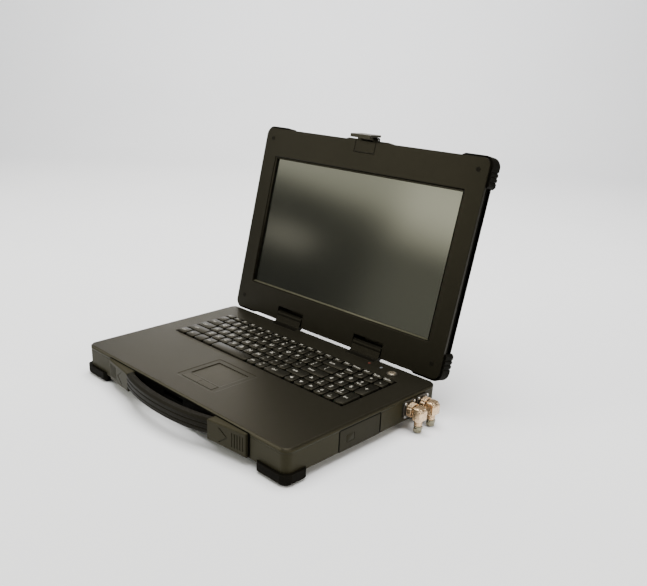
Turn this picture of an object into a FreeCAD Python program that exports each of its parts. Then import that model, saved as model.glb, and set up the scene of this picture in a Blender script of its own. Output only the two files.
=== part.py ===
import FreeCAD, Part
import math
import os

import Sketcher

# Rugged laptop with a front carrying handle, modelled with the lid open as it stands on a table.
# X runs to the user's right, Y to the back and Z up. The origin is the middle of the base's underside.

doc = FreeCAD.newDocument("laptop")
sheet = doc.addObject("Spreadsheet::Sheet", "sizes")


class Size:
    # A length that keeps both its number and the sheet formula behind it

    def __init__(self, value, text):
        self.value = float(value)
        self.text = text

    def __add__(self, other):
        return Size(self.value + number(other), "(%s + %s)" % (self.text, formula(other)))

    def __radd__(self, other):
        return Size(number(other) + self.value, "(%s + %s)" % (formula(other), self.text))

    def __sub__(self, other):
        return Size(self.value - number(other), "(%s - %s)" % (self.text, formula(other)))

    def __rsub__(self, other):
        return Size(number(other) - self.value, "(%s - %s)" % (formula(other), self.text))

    def __mul__(self, other):
        return Size(self.value * number(other), "(%s * %s)" % (self.text, formula(other)))

    def __rmul__(self, other):
        return Size(number(other) * self.value, "(%s * %s)" % (formula(other), self.text))

    def __truediv__(self, other):
        return Size(self.value / number(other), "(%s / %s)" % (self.text, formula(other)))

    def __neg__(self):
        return Size(-self.value, "(-%s)" % self.text)


def number(size):
    return size.value if isinstance(size, Size) else float(size)


def formula(size):
    return size.text if isinstance(size, Size) else "(%r)" % float(size)


# Base shell; its width and depth follow the lid, which follows the display
deck_height = 34
deck_skirt = 5.5
deck_plate = 3
wall = 3
floor_plate = 2.5
corner_radius = 10
deck_edge = 1.8
base_overhang = 0.5
fit_gap = 0.4

# Keyboard
key_pitch = 17.4
row_pitch = 18.4
function_pitch = 12
key_units = 19.2
kb_rear_gap = 38
key_gap = 1.6
key_rise = 2
key_body = 2.8
key_slope = 20
key_stem = 4.5
stem_length = 6.4
stem_gap = 0.25
plate_thick = 2
plate_rim = 5
kb_margin = 0.9

# Touchpad and deck controls
pad_recess_sink = 0.4
pad_sink = 0.8
pad_corner = 4
pad_side_margin = 8.5
pad_front_margin = 3
pad_to_keys = 20
pad_width = 60
pad_depth = 47
pad_back_margin = 8
pad_button_depth = 12
pad_button_gap = 2
pad_flange = 3
pad_sheet = 1.6
power_x = 146
power_rear_gap = 22
power_radius = 5.2
power_ring = 2
power_rise = 1.4
power_bevel = 0.6
power_catch = 1.3
power_travel = 1.3
lens_radius = 2
lens_left_x = 102.5
lens_spacing = 21
lens_rear_gap = 17

# Handle
handle_inner = 84
handle_outer = 141
handle_end_reach = 4
handle_step_reach = 13
grip_reach = 26
grip_thick = 12
grip_top = 32
grip_height = 21
groove_depth = 0.9
mount_low = 1
mount_slope = 4
mount_round = 1.5
mount_drop = 1.2
rib_width = 1.7
rib_pitch = 4
rib_depth = 0.8
rib_height = 18
rib_start = 8
arrow_length = 12
arrow_width = 2.6

# Feet
foot_height = 10
foot_lip = 4.5
foot_reach = 4
foot_leg_x = 46
foot_leg_y = 31
foot_inner = 16
foot_seat = 0.8
foot_cut = 10
foot_chamfer = 4

# Lid and hinges; lid pieces are drawn upright about the hinge axis and then leaned back
lid_open = 103.5
hinge_rise = 10
hinge_behind = 10
hinge_depth = 6
hinge_x = 78
barrel_radius = 7
tang_thick = 7.8
barrel_length = 51
notch_gap = 1.5
notch_top = 11.3
pin_radius = 2.5
pin_clear = 0.05
lug_width = 8
lug_gap = 0.3
lug_radius = 4.4
bracket_top = 30
bracket_plate = 3
lid_bottom = 9.6
lid_setback = 1.5
lid_thick = 18
lid_wall = 2.5
lid_corner = 10
lid_flush = 0
lid_back_chamfer = 3
bezel_thick = 4.5
window_width = 345
window_height = 195
window_bottom = 36.5
bezel_top = 43
bezel_side = 29
window_chamfer = 2
glass_margin = 5
glass_thick = 2
panel_margin = 7
panel_thick = 3.5
guard_reach = 3
guard_leg_x = 46
guard_leg_z = 36
guard_inner = 12
guard_lip = 2
guard_start = 3
guard_rib_first = 14
guard_rib_pitch = 6
guard_rib_width = 2.6
guard_rib_slope = 0.6
guard_rib_depth = 1.2

# Latch
latch_width = 36
latch_drop = 16
latch_gap = 0.6
latch_pin_rise = 3.5
latch_pin_radius = 1.5
latch_knuckle = 20
latch_cheek = 3.1
latch_offset = 3.6
latch_plate = 3
latch_length = 19
latch_lip = 1.8
latch_droop = 11
boss_half = 42
boss_rise = 2
keeper_height = 13
keeper_margin = 3

# Drive bay
caddy_wall = 1.5
caddy_gap = 0.5
caddy_back = 4
bay_to_board = 5.5
drive_length = 100
drive_width = 68
drive_height = 9.5
cover_gap = 0.9
finger_inset = 12
finger_width = 14
finger_height = 10
finger_corner = 2
finger_sink = 1.6

# Side connectors
plug_front_y = 76
plug_spacing = 26.5
plug_z = 16.5
flange_size = 22.5
flange_thick = 2.5
flange_corner = 2.5
shell_radius = 7.6
shell_bore = 5.6
shell_length = 8
barrel_behind = 8
ring_radius = 9.6
ring_length = 6.5
ring_stand = 1.8
ring_gap = 0.1
flute_depth = 0.7
elbow_half = 7.6
elbow_mitre = 5
elbow_bevel = 2.2
stem_radius = 6
stem_bottom = -1
clamp_radius = 6.8
clamp_height = 7.5
cable_radius = 3.5

# Inside
battery_length = 185
battery_depth = 68
battery_height = 19
board_depth = 88
board_gap_left = 10
board_gap_right = 14
board_gap_rear = 6.2
board_thick = 1.6
board_rise = 6
boss_half_width = 3.5
boss_inset = 9
spreader_length = 90
spreader_depth = 60
spreader_height = 12
fin_pitch = 9

# Every size above goes into the sheet, and from here on its name stands for its cell
for row, (name, value) in enumerate(list(globals().items()), 1):
    if isinstance(value, (int, float)):
        sheet.set("A%d" % row, str(value))
        sheet.setAlias("A%d" % row, name)
        globals()[name] = Size(value, "sizes." + name)
doc.recompute()

lid_width = window_width + bezel_side * 2
lid_top = window_bottom + window_height + bezel_top
base_width = lid_width + base_overhang * 2
base_depth = lid_top - hinge_behind + lid_setback
half_width = base_width / 2
half_depth = base_depth / 2
housing_top = deck_height - deck_skirt
deck_under = deck_height - deck_plate
tang_front = half_depth - wall - tang_thick
tang_rear = half_depth - wall
kb_width = key_pitch * key_units
kb_left = -(kb_width / 2)
main_right = kb_left + kb_width - key_pitch * 4
kb_rear = half_depth - kb_rear_gap
kb_front = kb_rear - row_pitch * 5 - function_pitch
pad_recess_width = pad_width + pad_side_margin * 2
pad_recess_rear = kb_front - pad_to_keys
pad_rear = pad_recess_rear - pad_back_margin
pad_front = pad_rear - pad_depth
button_rear = pad_front - pad_button_gap
button_front = button_rear - pad_button_depth
pad_recess_front = button_front - pad_front_margin
power_y = half_depth - power_rear_gap
lens_y = half_depth - lens_rear_gap
lid_half = lid_width / 2
lid_front = -hinge_depth
bezel_back = bezel_thick - hinge_depth
lid_back = lid_thick - hinge_depth
cover_inside = lid_back - lid_wall
hinge_y = half_depth + hinge_behind
hinge_z = deck_height + hinge_rise
notch_width = barrel_length + notch_gap * 2
lug_middle = notch_width / 2 + lid_wall + lug_gap + lug_width / 2
pin_length = lug_middle * 2 + lug_width + lug_gap
keeper_width = latch_width + keeper_margin * 2
board_left = board_gap_left + wall - half_width
board_length = half_width - wall - board_gap_right - board_left
board_front = tang_front - board_gap_rear - board_depth
bay_width = drive_width + caddy_wall * 2 + caddy_gap * 2
bay_rear = board_front - bay_to_board
bay_front = bay_rear - bay_width
bay_middle = bay_front + bay_width / 2
caddy_length = drive_length + caddy_back
plug_ys = [plug_front_y, plug_front_y + plug_spacing]
ring_start = flange_thick + ring_stand
ring_end = ring_start + ring_length
elbow_reach = ring_end + fit_gap + stem_radius
corners = [(-1, -1), (1, -1), (-1, 1), (1, 1)]
turned_flats = 24
lens_flats = 12
parts = []


def keep(piece, label):
    piece.Label = label
    parts.append(piece)
    return piece


def bind(target, path, size):
    if isinstance(size, Size):
        target.setExpression(path, size.text)


def set_size(target, prop, size):
    setattr(target, prop, number(size))
    bind(target, prop, size)


def place(target, x, y, z):
    target.Placement.Base = FreeCAD.Vector(number(x), number(y), number(z))
    for letter, size in zip("xyz", (x, y, z)):
        bind(target, ".Placement.Base." + letter, size)


def lean(piece):
    # Turns a lid piece from upright to the angle at which the lid stands open
    axis = FreeCAD.Vector(1, 0, 0)
    base = FreeCAD.Vector(0, number(hinge_y), number(hinge_z))
    piece.Placement = FreeCAD.Placement(base, FreeCAD.Rotation(axis, 90 - number(lid_open)))
    bind(piece, ".Placement.Base.y", hinge_y)
    bind(piece, ".Placement.Base.z", hinge_z)
    return piece


def body(name):
    return doc.addObject("PartDesign::Body", name)


def sketch(owner, plane, offset=0, shift=0, swing=0):
    # Drawing plane at an offset along its normal, and if need be shifted sideways and swung about its upright axis
    drawing = owner.newObject("Sketcher::SketchObject", owner.Name + "_sketch")
    support = [item for item in owner.Origin.OriginFeatures if item.Role == plane][0]
    drawing.AttachmentSupport = [(support, "")]
    drawing.MapMode = "FlatFace"
    drawing.AttachmentOffset = FreeCAD.Placement(
        FreeCAD.Vector(number(shift), 0, number(offset)), FreeCAD.Rotation(FreeCAD.Vector(0, 1, 0), swing))
    bind(drawing, "AttachmentOffset.Base.x", shift)
    bind(drawing, "AttachmentOffset.Base.z", offset)
    return drawing


def polygon(drawing, points):
    # Closed outline whose every corner is tied to its sizes
    first = drawing.GeometryCount
    count = len(points)
    spots = [FreeCAD.Vector(number(x), number(y), 0) for x, y in points]
    lines = [Part.LineSegment(spots[i], spots[(i + 1) % count]) for i in range(count)]
    drawing.addGeometry(lines, False)
    rules = [Sketcher.Constraint("Coincident", first + i, 2, first + (i + 1) % count, 1) for i in range(count)]
    start = drawing.ConstraintCount + count
    for i in range(count):
        rules.append(Sketcher.Constraint("DistanceX", -1, 1, first + i, 1, spots[i].x))
        rules.append(Sketcher.Constraint("DistanceY", -1, 1, first + i, 1, spots[i].y))
    drawing.addConstraint(rules)
    for i, (x, y) in enumerate(points):
        bind(drawing, "Constraints[%d]" % (start + 2 * i), x)
        bind(drawing, "Constraints[%d]" % (start + 2 * i + 1), y)


def rectangle(drawing, x0, y0, x1, y1):
    polygon(drawing, [(x0, y0), (x1, y0), (x1, y1), (x0, y1)])


def rounded(drawing, x0, y0, x1, y1, radius):
    # Rectangle with round corners: four lines and four quarter arcs, each end tied to its sizes
    ends = [
        ((x0 + radius, y0), (x1 - radius, y0)), ((x1, y0 + radius), (x1, y1 - radius)),
        ((x1 - radius, y1), (x0 + radius, y1)), ((x0, y1 - radius), (x0, y0 + radius)),
    ]
    centres = [(x1 - radius, y0 + radius), (x1 - radius, y1 - radius), (x0 + radius, y1 - radius),
               (x0 + radius, y0 + radius)]
    first = drawing.GeometryCount
    pieces = []
    for (start_x, start_y), (end_x, end_y) in ends:
        pieces.append(Part.LineSegment(FreeCAD.Vector(number(start_x), number(start_y), 0),
                                       FreeCAD.Vector(number(end_x), number(end_y), 0)))
    for i, (x, y) in enumerate(centres):
        round_part = Part.Circle(FreeCAD.Vector(number(x), number(y), 0), FreeCAD.Vector(0, 0, 1), number(radius))
        pieces.append(Part.ArcOfCircle(round_part, math.pi * (i - 1) / 2, math.pi * i / 2))
    drawing.addGeometry(pieces, False)
    rules = []
    for i in range(4):
        rules.append(Sketcher.Constraint("Coincident", first + i, 2, first + 4 + i, 1))
        rules.append(Sketcher.Constraint("Coincident", first + 4 + i, 2, first + (i + 1) % 4, 1))
    spots = []
    for i, (start, end) in enumerate(ends):
        spots += [("DistanceX", first + i, 1, start[0]), ("DistanceY", first + i, 1, start[1]),
                  ("DistanceX", first + i, 2, end[0]), ("DistanceY", first + i, 2, end[1])]
    for i, (x, y) in enumerate(centres):
        spots.append(("DistanceX", first + 4 + i, 3, x))
    for kind, item, spot, length in spots:
        rules.append(Sketcher.Constraint(kind, -1, 1, item, spot, number(length)))
    start = drawing.ConstraintCount + 8
    drawing.addConstraint(rules)
    for i, (kind, item, spot, length) in enumerate(spots):
        bind(drawing, "Constraints[%d]" % (start + i), length)


def regular(drawing, x, y, count, radii):
    # Outline of flats or flutes: corners evenly round a centre, at radii taken in turn
    points = []
    for i in range(count):
        angle = math.pi * (2 * i + 1) / count
        radius = radii[i % len(radii)]
        points.append((x + radius * math.cos(angle), y + radius * math.sin(angle)))
    polygon(drawing, points)


def circle(drawing, x, y, radius):
    index = drawing.addGeometry(
        Part.Circle(FreeCAD.Vector(number(x), number(y), 0), FreeCAD.Vector(0, 0, 1), number(radius)), False)
    start = drawing.ConstraintCount
    drawing.addConstraint([
        Sketcher.Constraint("DistanceX", -1, 1, index, 3, number(x)),
        Sketcher.Constraint("DistanceY", -1, 1, index, 3, number(y)),
        Sketcher.Constraint("Radius", index, number(radius)),
    ])
    for i, size in enumerate((x, y, radius)):
        bind(drawing, "Constraints[%d]" % (start + i), size)


def pad(owner, drawing, length, back=False, both=False, taper=None):
    feature = owner.newObject("PartDesign::Pad", owner.Name + "_pad")
    feature.Profile = drawing
    set_size(feature, "Length", length)
    feature.Reversed = back
    feature.Midplane = both
    if taper is not None:
        feature.TaperAngle = -number(taper)
        bind(feature, "TaperAngle", -taper)
    return feature


def pocket(owner, drawing, length=None, back=False, both=False):
    feature = owner.newObject("PartDesign::Pocket", owner.Name + "_pocket")
    feature.Profile = drawing
    feature.Reversed = back
    feature.Midplane = both
    if length is None:
        feature.Type = "ThroughAll"
    else:
        set_size(feature, "Length", length)
    return feature


def dress(owner, kind, prop, size, pick):
    # Fillet or chamfer on the edges of the newest feature that the test picks
    doc.recompute()
    tip = owner.Tip
    edges = ["Edge%d" % (i + 1) for i, edge in enumerate(tip.Shape.Edges) if pick(edge)]
    feature = owner.newObject("PartDesign::" + kind, owner.Name + "_" + kind.lower())
    feature.Base = (tip, edges)
    set_size(feature, prop, size)
    return feature


def fillet(owner, size, pick):
    return dress(owner, "Fillet", "Radius", size, pick)


def chamfer(owner, size, pick):
    return dress(owner, "Chamfer", "Size", size, pick)


def repeat(owner, features, drawing, count, length):
    feature = owner.newObject("PartDesign::LinearPattern", owner.Name + "_row")
    feature.Originals = features
    feature.Direction = (drawing, ["H_Axis"])
    set_size(feature, "Length", length)
    feature.Occurrences = count
    owner.Tip = feature
    return feature


def box(name, x, y, z, length, width, height):
    piece = doc.addObject("Part::Box", name)
    for prop, size in zip(("Length", "Width", "Height"), (length, width, height)):
        set_size(piece, prop, size)
    place(piece, x, y, z)
    return piece


def cylinder(name, radius, height, x, y, z, axis=None):
    piece = doc.addObject("Part::Cylinder", name)
    set_size(piece, "Radius", radius)
    set_size(piece, "Height", height)
    if axis:
        piece.Placement.Rotation = FreeCAD.Rotation(FreeCAD.Vector(0, 0, 1), FreeCAD.Vector(*axis))
    place(piece, x, y, z)
    return piece


def cut(name, base, tool):
    piece = doc.addObject("Part::Cut", name)
    piece.Base = base
    piece.Tool = tool
    return piece


def group(name, pieces):
    piece = doc.addObject("Part::Compound", name)
    piece.Links = pieces
    return piece


def middle(edge):
    return edge.BoundBox.Center


def runs_along(edge, letter):
    spans = {"x": edge.BoundBox.XLength, "y": edge.BoundBox.YLength, "z": edge.BoundBox.ZLength}
    longest = spans.pop(letter)
    return longest > 0.01 and max(spans.values()) < 0.001


def near(value, size, room=0.01):
    return abs(value - number(size)) < room


# Base housing: an open tub with the drive bay, connector and latch openings in its walls
housing = keep(body("base_housing"), "base_housing")
drawing = sketch(housing, "XY_Plane")
rounded(drawing, -half_width, -half_depth, half_width, half_depth, corner_radius)
pad(housing, drawing, housing_top)
chamfer(housing, 1, lambda edge: near(edge.BoundBox.ZMax, 0))
drawing = sketch(housing, "XY_Plane", housing_top)
rounded(drawing, wall - half_width, wall - half_depth, half_width - wall, half_depth - wall, corner_radius - wall)
pocket(housing, drawing, housing_top - floor_plate)
drawing = sketch(housing, "XY_Plane", housing_top)
rectangle(drawing, half_width - wall, bay_front, half_width + 1, bay_rear)
pocket(housing, drawing)
drawing = sketch(housing, "XY_Plane")
for side, end in corners:
    seat_x = half_width - foot_leg_x - fit_gap
    seat_y = half_depth - foot_leg_y - fit_gap
    inner_x = half_width - foot_inner - fit_gap
    inner_y = half_depth - foot_inner - fit_gap
    past_x = half_width + foot_reach
    past_y = half_depth + foot_reach
    polygon(drawing, [
        (seat_x * side, inner_y * end), (seat_x * side, past_y * end), (past_x * side, past_y * end),
        (past_x * side, seat_y * end), (inner_x * side, seat_y * end), (inner_x * side, inner_y * end),
    ])
pocket(housing, drawing, foot_seat, back=True)
drawing = sketch(housing, "YZ_Plane", half_width)
for y in plug_ys:
    regular(drawing, y, plug_z, 8, [shell_radius + ring_gap])
pocket(housing, drawing, wall)
drawing = sketch(housing, "XZ_Plane", half_depth)
rectangle(drawing, -keeper_width / 2, housing_top - keeper_height, keeper_width / 2, housing_top)
pocket(housing, drawing, wall)
drawing = sketch(housing, "XY_Plane", floor_plate)
for column in range(3):
    for line in range(2):
        post_x = board_left + boss_inset + (board_length - boss_inset * 2) * column / 2
        post_y = board_front + boss_inset + (board_depth - boss_inset * 2) * line
        rectangle(drawing, post_x - boss_half_width, post_y - boss_half_width,
                  post_x + boss_half_width, post_y + boss_half_width)
pad(housing, drawing, board_rise)

# Top deck: a shallow cap with the keyboard window, touchpad recess and hinge notches
deck = keep(body("top_deck"), "top_deck")
drawing = sketch(deck, "XY_Plane", housing_top)
rounded(drawing, -half_width, -half_depth, half_width, half_depth, corner_radius)
pad(deck, drawing, deck_skirt)
chamfer(deck, deck_edge, lambda edge: near(edge.BoundBox.ZMin, deck_height))
drawing = sketch(deck, "XY_Plane", housing_top)
rounded(drawing, wall - half_width, wall - half_depth, half_width - wall, half_depth - wall, corner_radius - wall)
pocket(deck, drawing, deck_skirt - deck_plate, back=True)
drawing = sketch(deck, "XY_Plane", deck_height)
rectangle(drawing, kb_left - kb_margin, kb_front - kb_margin, kb_left + kb_width + kb_margin, kb_rear + kb_margin)
pocket(deck, drawing)
drawing = sketch(deck, "XY_Plane", deck_height)
rounded(drawing, -pad_recess_width / 2, pad_recess_front, pad_recess_width / 2, pad_recess_rear, pad_corner)
pocket(deck, drawing, pad_recess_sink)
drawing = sketch(deck, "XY_Plane", deck_height)
rectangle(drawing, -pad_width / 2, pad_front, pad_width / 2, pad_rear)
rectangle(drawing, -pad_width / 2, button_front, pad_width / 2, button_rear)
for side in (-1, 1):
    rectangle(drawing, hinge_x * side - barrel_length / 2 - fit_gap, tang_front - fit_gap,
              hinge_x * side + barrel_length / 2 + fit_gap, half_depth + 1)
regular(drawing, power_x, power_y, turned_flats, [power_radius + stem_gap])
for step in (0, 1):
    regular(drawing, lens_left_x + lens_spacing * step, lens_y, lens_flats, [lens_radius + 0.1])
pocket(deck, drawing)


# Keyboard: each row is a run of equal keys and the wider keys beside it, on stems guided by one plate
def key_spans(lead, count, tail):
    run = [(kb_left + key_pitch * (sum(lead) + i), kb_left + key_pitch * (sum(lead) + i + 1)) for i in range(count)]
    others = []
    start = 0
    for width in lead:
        others.append((kb_left + key_pitch * start, kb_left + key_pitch * (start + width)))
        start += width
    others.append((kb_left + key_pitch * (start + count), main_right - key_pitch * tail))
    for i in range(tail):
        others.append((main_right - key_pitch * (tail - i), main_right - key_pitch * (tail - i - 1)))
    return run, others


def number_pad(count):
    return [(main_right + key_pitch * i, main_right + key_pitch * (i + 1)) for i in range(count)]


key_bottom = deck_height + key_rise - key_body
plate_top = deck_under
plate = keep(body("keyboard_plate"), "keyboard_plate")
drawing = sketch(plate, "XY_Plane", plate_top)
rectangle(drawing, kb_left - plate_rim, kb_front - plate_rim, kb_left + kb_width + plate_rim, kb_rear + plate_rim)
pad(plate, drawing, plate_thick, back=True)


def stem_box(drawing, left, right, front, rear, room):
    middle_y = (front + rear) / 2
    half = key_stem / 2 + room
    rectangle(drawing, left - half, middle_y - half, right + half, middle_y + half)


def add_keys(owner, spans, front, rear):
    drawing = sketch(owner, "XY_Plane", key_bottom)
    for left, right in spans:
        rectangle(drawing, left + key_gap / 2, front + key_gap / 2, right - key_gap / 2, rear - key_gap / 2)
    caps = pad(owner, drawing, key_body, taper=key_slope)
    drawing = sketch(owner, "XY_Plane", key_bottom)
    for left, right in spans:
        centre = (left + right) / 2
        stem_box(drawing, centre, centre, front, rear, 0)
    return caps, pad(owner, drawing, stem_length, back=True), drawing


def key_row(label, front, rear, run, others, pitch):
    owner = keep(body(label), label)
    caps, stems, drawing = add_keys(owner, run[:1], front, rear)
    repeat(owner, [caps, stems], drawing, len(run), pitch * (len(run) - 1))
    if others:
        add_keys(owner, others, front, rear)
    drawing = sketch(plate, "XY_Plane", plate_top)
    stem_box(drawing, kb_left + key_stem, kb_left + kb_width - key_stem, front, rear, stem_gap)
    pocket(plate, drawing)
    doc.recompute()


def row_front(index):
    return kb_front + row_pitch * index


lead_bottom = 1.15
space_left = kb_left + key_pitch * (lead_bottom * 4)
space_right = space_left + key_pitch * 4.35
bottom_run = [(kb_left + key_pitch * (lead_bottom * i), kb_left + key_pitch * (lead_bottom * (i + 1)))
              for i in range(4)]
bottom_others = [
    (space_right, space_right + key_pitch),
    (space_right + key_pitch, space_right + key_pitch * 2),
    (space_right + key_pitch * 2, main_right - key_pitch * 2),
    (main_right - key_pitch * 2, main_right - key_pitch),
    (main_right - key_pitch, main_right),
] + number_pad(3)
key_row("bottom_row_keys", row_front(0), row_front(1), bottom_run, bottom_others, key_pitch * lead_bottom)
run, others = key_spans([2.25], 10, 1)
key_row("shift_row_keys", row_front(1), row_front(2), run, others + number_pad(3), key_pitch)
run, others = key_spans([1.75], 11, 0)
key_row("caps_row_keys", row_front(2), row_front(3), run, others + number_pad(3), key_pitch)
run, others = key_spans([1.5], 12, 0)
key_row("tab_row_keys", row_front(3), row_front(4), run, others + number_pad(3), key_pitch)
run, others = key_spans([], 13, 0)
key_row("number_row_keys", row_front(4), row_front(5), run, others + number_pad(4), key_pitch)
slim_pitch = kb_width / 19
slim_run = [(kb_left + slim_pitch * i, kb_left + slim_pitch * (i + 1)) for i in range(19)]
key_row("function_row_keys", row_front(5), kb_rear, slim_run, [], slim_pitch)
for label, span, front, rear in (
        ("space_bar", (space_left, space_right), row_front(0), row_front(1)),
        ("numpad_enter_key", (main_right + key_pitch * 3, main_right + key_pitch * 4), row_front(0), row_front(2)),
        ("numpad_plus_key", (main_right + key_pitch * 3, main_right + key_pitch * 4), row_front(2), row_front(4))):
    add_keys(keep(body(label), label), [span], front, rear)
    if rear.value - front.value > row_pitch.value * 1.5:
        drawing = sketch(plate, "XY_Plane", plate_top)
        centre = (span[0] + span[1]) / 2
        stem_box(drawing, centre, centre, front, rear, stem_gap)
        pocket(plate, drawing)
doc.recompute()

# Touchpad with its flange under the deck, and two buttons in front of it
touchpad = keep(body("touchpad"), "touchpad")
drawing = sketch(touchpad, "XY_Plane", deck_under)
rectangle(drawing, fit_gap - pad_width / 2, pad_front + fit_gap, pad_width / 2 - fit_gap, pad_rear - fit_gap)
pad(touchpad, drawing, deck_plate - pad_recess_sink - pad_sink)
drawing = sketch(touchpad, "XY_Plane", deck_under)
rectangle(drawing, -pad_width / 2 - pad_flange, pad_front, pad_width / 2 + pad_flange, pad_rear + pad_flange)
pad(touchpad, drawing, pad_sheet, back=True)
for label, side in (("touchpad_button_left", -1), ("touchpad_button_right", 1)):
    button = keep(body(label), label)
    inner = fit_gap / 2 * side
    outer = (pad_width / 2 - fit_gap) * side
    ends = (inner, outer) if side > 0 else (outer, inner)
    drawing = sketch(button, "XY_Plane", deck_under - fit_gap)
    rectangle(drawing, ends[0], button_front + fit_gap, ends[1], button_rear - fit_gap)
    pad(button, drawing, deck_plate - pad_recess_sink + fit_gap + 0.3)
    outer = (pad_width / 2 + pad_flange) * side
    ends = (inner, outer) if side > 0 else (outer, inner)
    drawing = sketch(button, "XY_Plane", deck_under - fit_gap)
    rectangle(drawing, ends[0], button_front - pad_flange / 2, ends[1], button_rear)
    pad(button, drawing, pad_sheet - fit_gap, back=True)

# Power button in its ring, and two indicator lenses
ring = keep(body("power_button_ring"), "power_button_ring")
drawing = sketch(ring, "XY_Plane", deck_height)
regular(drawing, 0, 0, turned_flats, [power_radius + power_ring])
regular(drawing, 0, 0, turned_flats, [power_radius + stem_gap])
pad(ring, drawing, power_rise)
chamfer(ring, power_bevel, lambda edge: near(edge.BoundBox.ZMin, deck_height + power_rise)
        and math.hypot(middle(edge).x, middle(edge).y) > number(power_radius) + 1)
place(ring, power_x, power_y, 0)
button = keep(body("power_button"), "power_button")
button_top = deck_height + power_rise + power_bevel
plate_half = power_radius + power_catch
catch_top = deck_under - power_travel
drawing = sketch(button, "XY_Plane", catch_top - power_catch)
regular(drawing, 0, 0, turned_flats, [power_radius])
pad(button, drawing, button_top - catch_top + power_catch)
chamfer(button, power_bevel, lambda edge: near(edge.BoundBox.ZMin, button_top))
drawing = sketch(button, "XY_Plane", catch_top)
rectangle(drawing, -plate_half, -plate_half, plate_half, plate_half)
pad(button, drawing, power_catch, back=True)
place(button, power_x, power_y, 0)
lenses = keep(body("indicator_lenses"), "indicator_lenses")
drawing = sketch(lenses, "XY_Plane", deck_under)
for step in (0, 1):
    regular(drawing, lens_left_x + lens_spacing * step, lens_y, lens_flats, [lens_radius])
pad(lenses, drawing, deck_plate + 0.4)

# Handle: two wedge blocks on the front wall carry an arched, grooved grip
face_slope = math.degrees(math.atan2(number(handle_step_reach - handle_end_reach), number(handle_outer - handle_inner)))
for label, side in (("handle_mount_left", -1), ("handle_mount_right", 1)):
    block = keep(body(label), label)
    drawing = sketch(block, "XY_Plane", mount_low)
    polygon(drawing, [
        (handle_inner * side, -half_depth), (handle_outer * side, -half_depth),
        (handle_outer * side, -half_depth - handle_end_reach), (handle_inner * side, -half_depth - handle_step_reach),
    ])
    pad(block, drawing, grip_top - mount_drop - mount_low)
    drawing = sketch(block, "XZ_Plane", half_depth + grip_reach)
    polygon(drawing, [
        (handle_inner * side, mount_low - grip_height), (handle_outer * side, mount_low - grip_height),
        (handle_outer * side, mount_low), (handle_inner * side, mount_low + mount_slope),
    ])
    pocket(block, drawing)
    fillet(block, mount_round, lambda edge: middle(edge).y < -number(half_depth) - 2
           and not near(middle(edge).x, handle_inner * side) and not runs_along(edge, "x"))
    # Upright finger ribs and an arrow-shaped groove in the slanted outer face
    drawing = sketch(block, "XZ_Plane", half_depth + (handle_end_reach + handle_step_reach) / 2,
                     (handle_inner + handle_outer) / 2 * side, face_slope * side)
    centre = (grip_top - mount_drop + mount_low + mount_slope / 2) / 2
    for rib in range(5):
        near_x = (rib_start + rib_pitch * rib) * side
        far_x = (rib_start + rib_pitch * rib + rib_width) * side
        rectangle(drawing, near_x, centre - rib_height / 2, far_x, centre + rib_height / 2)
    polygon(drawing, [
        (-arrow_length * side, centre + rib_height / 2), ((arrow_width - arrow_length) * side, centre + rib_height / 2),
        (arrow_width * side, centre), ((arrow_width - arrow_length) * side, centre - rib_height / 2),
        (-arrow_length * side, centre - rib_height / 2), (0, centre),
    ])
    pocket(block, drawing, rib_depth)


def grip_section(drawing, reach, thick, top, height):
    # Section of the grip: softened corners and two finger grooves down its outer face
    face = -half_depth - reach
    rear = face + thick
    bottom = top - height
    soft = 2.5
    points = [(rear, bottom + soft), (rear, top - soft), (rear - soft, top), (face + soft, top), (face, top - soft)]
    for share in (0.67, 0.36):
        level = bottom + height * share
        points += [(face, level + 1.2), (face + groove_depth, level + 0.5),
                   (face + groove_depth, level - 0.5), (face, level - 1.2)]
    points += [(face, bottom + soft), (face + soft, bottom), (rear - soft, bottom)]
    polygon(drawing, points)


grip = keep(body("handle_grip"), "handle_grip")
end_thick = handle_step_reach - 1.5
stations = [
    (-1, 1, handle_step_reach, end_thick, grip_height),
    (-1, 0.66, grip_reach - 5, grip_thick, grip_height),
    (-1, 0, grip_reach, grip_thick, grip_height),
    (1, 0.66, grip_reach - 5, grip_thick, grip_height),
    (1, 1, handle_step_reach, end_thick, grip_height),
]
drawings = []
for side, share, reach, thick, height in stations:
    drawing = sketch(grip, "YZ_Plane", handle_inner * (side * share))
    grip_section(drawing, reach, thick, grip_top - 1, height)
    drawings.append(drawing)
loft = grip.newObject("PartDesign::AdditiveLoft", "handle_grip_loft")
loft.Profile = drawings[0]
loft.Sections = drawings[1:]
loft.Ruled = False

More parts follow.
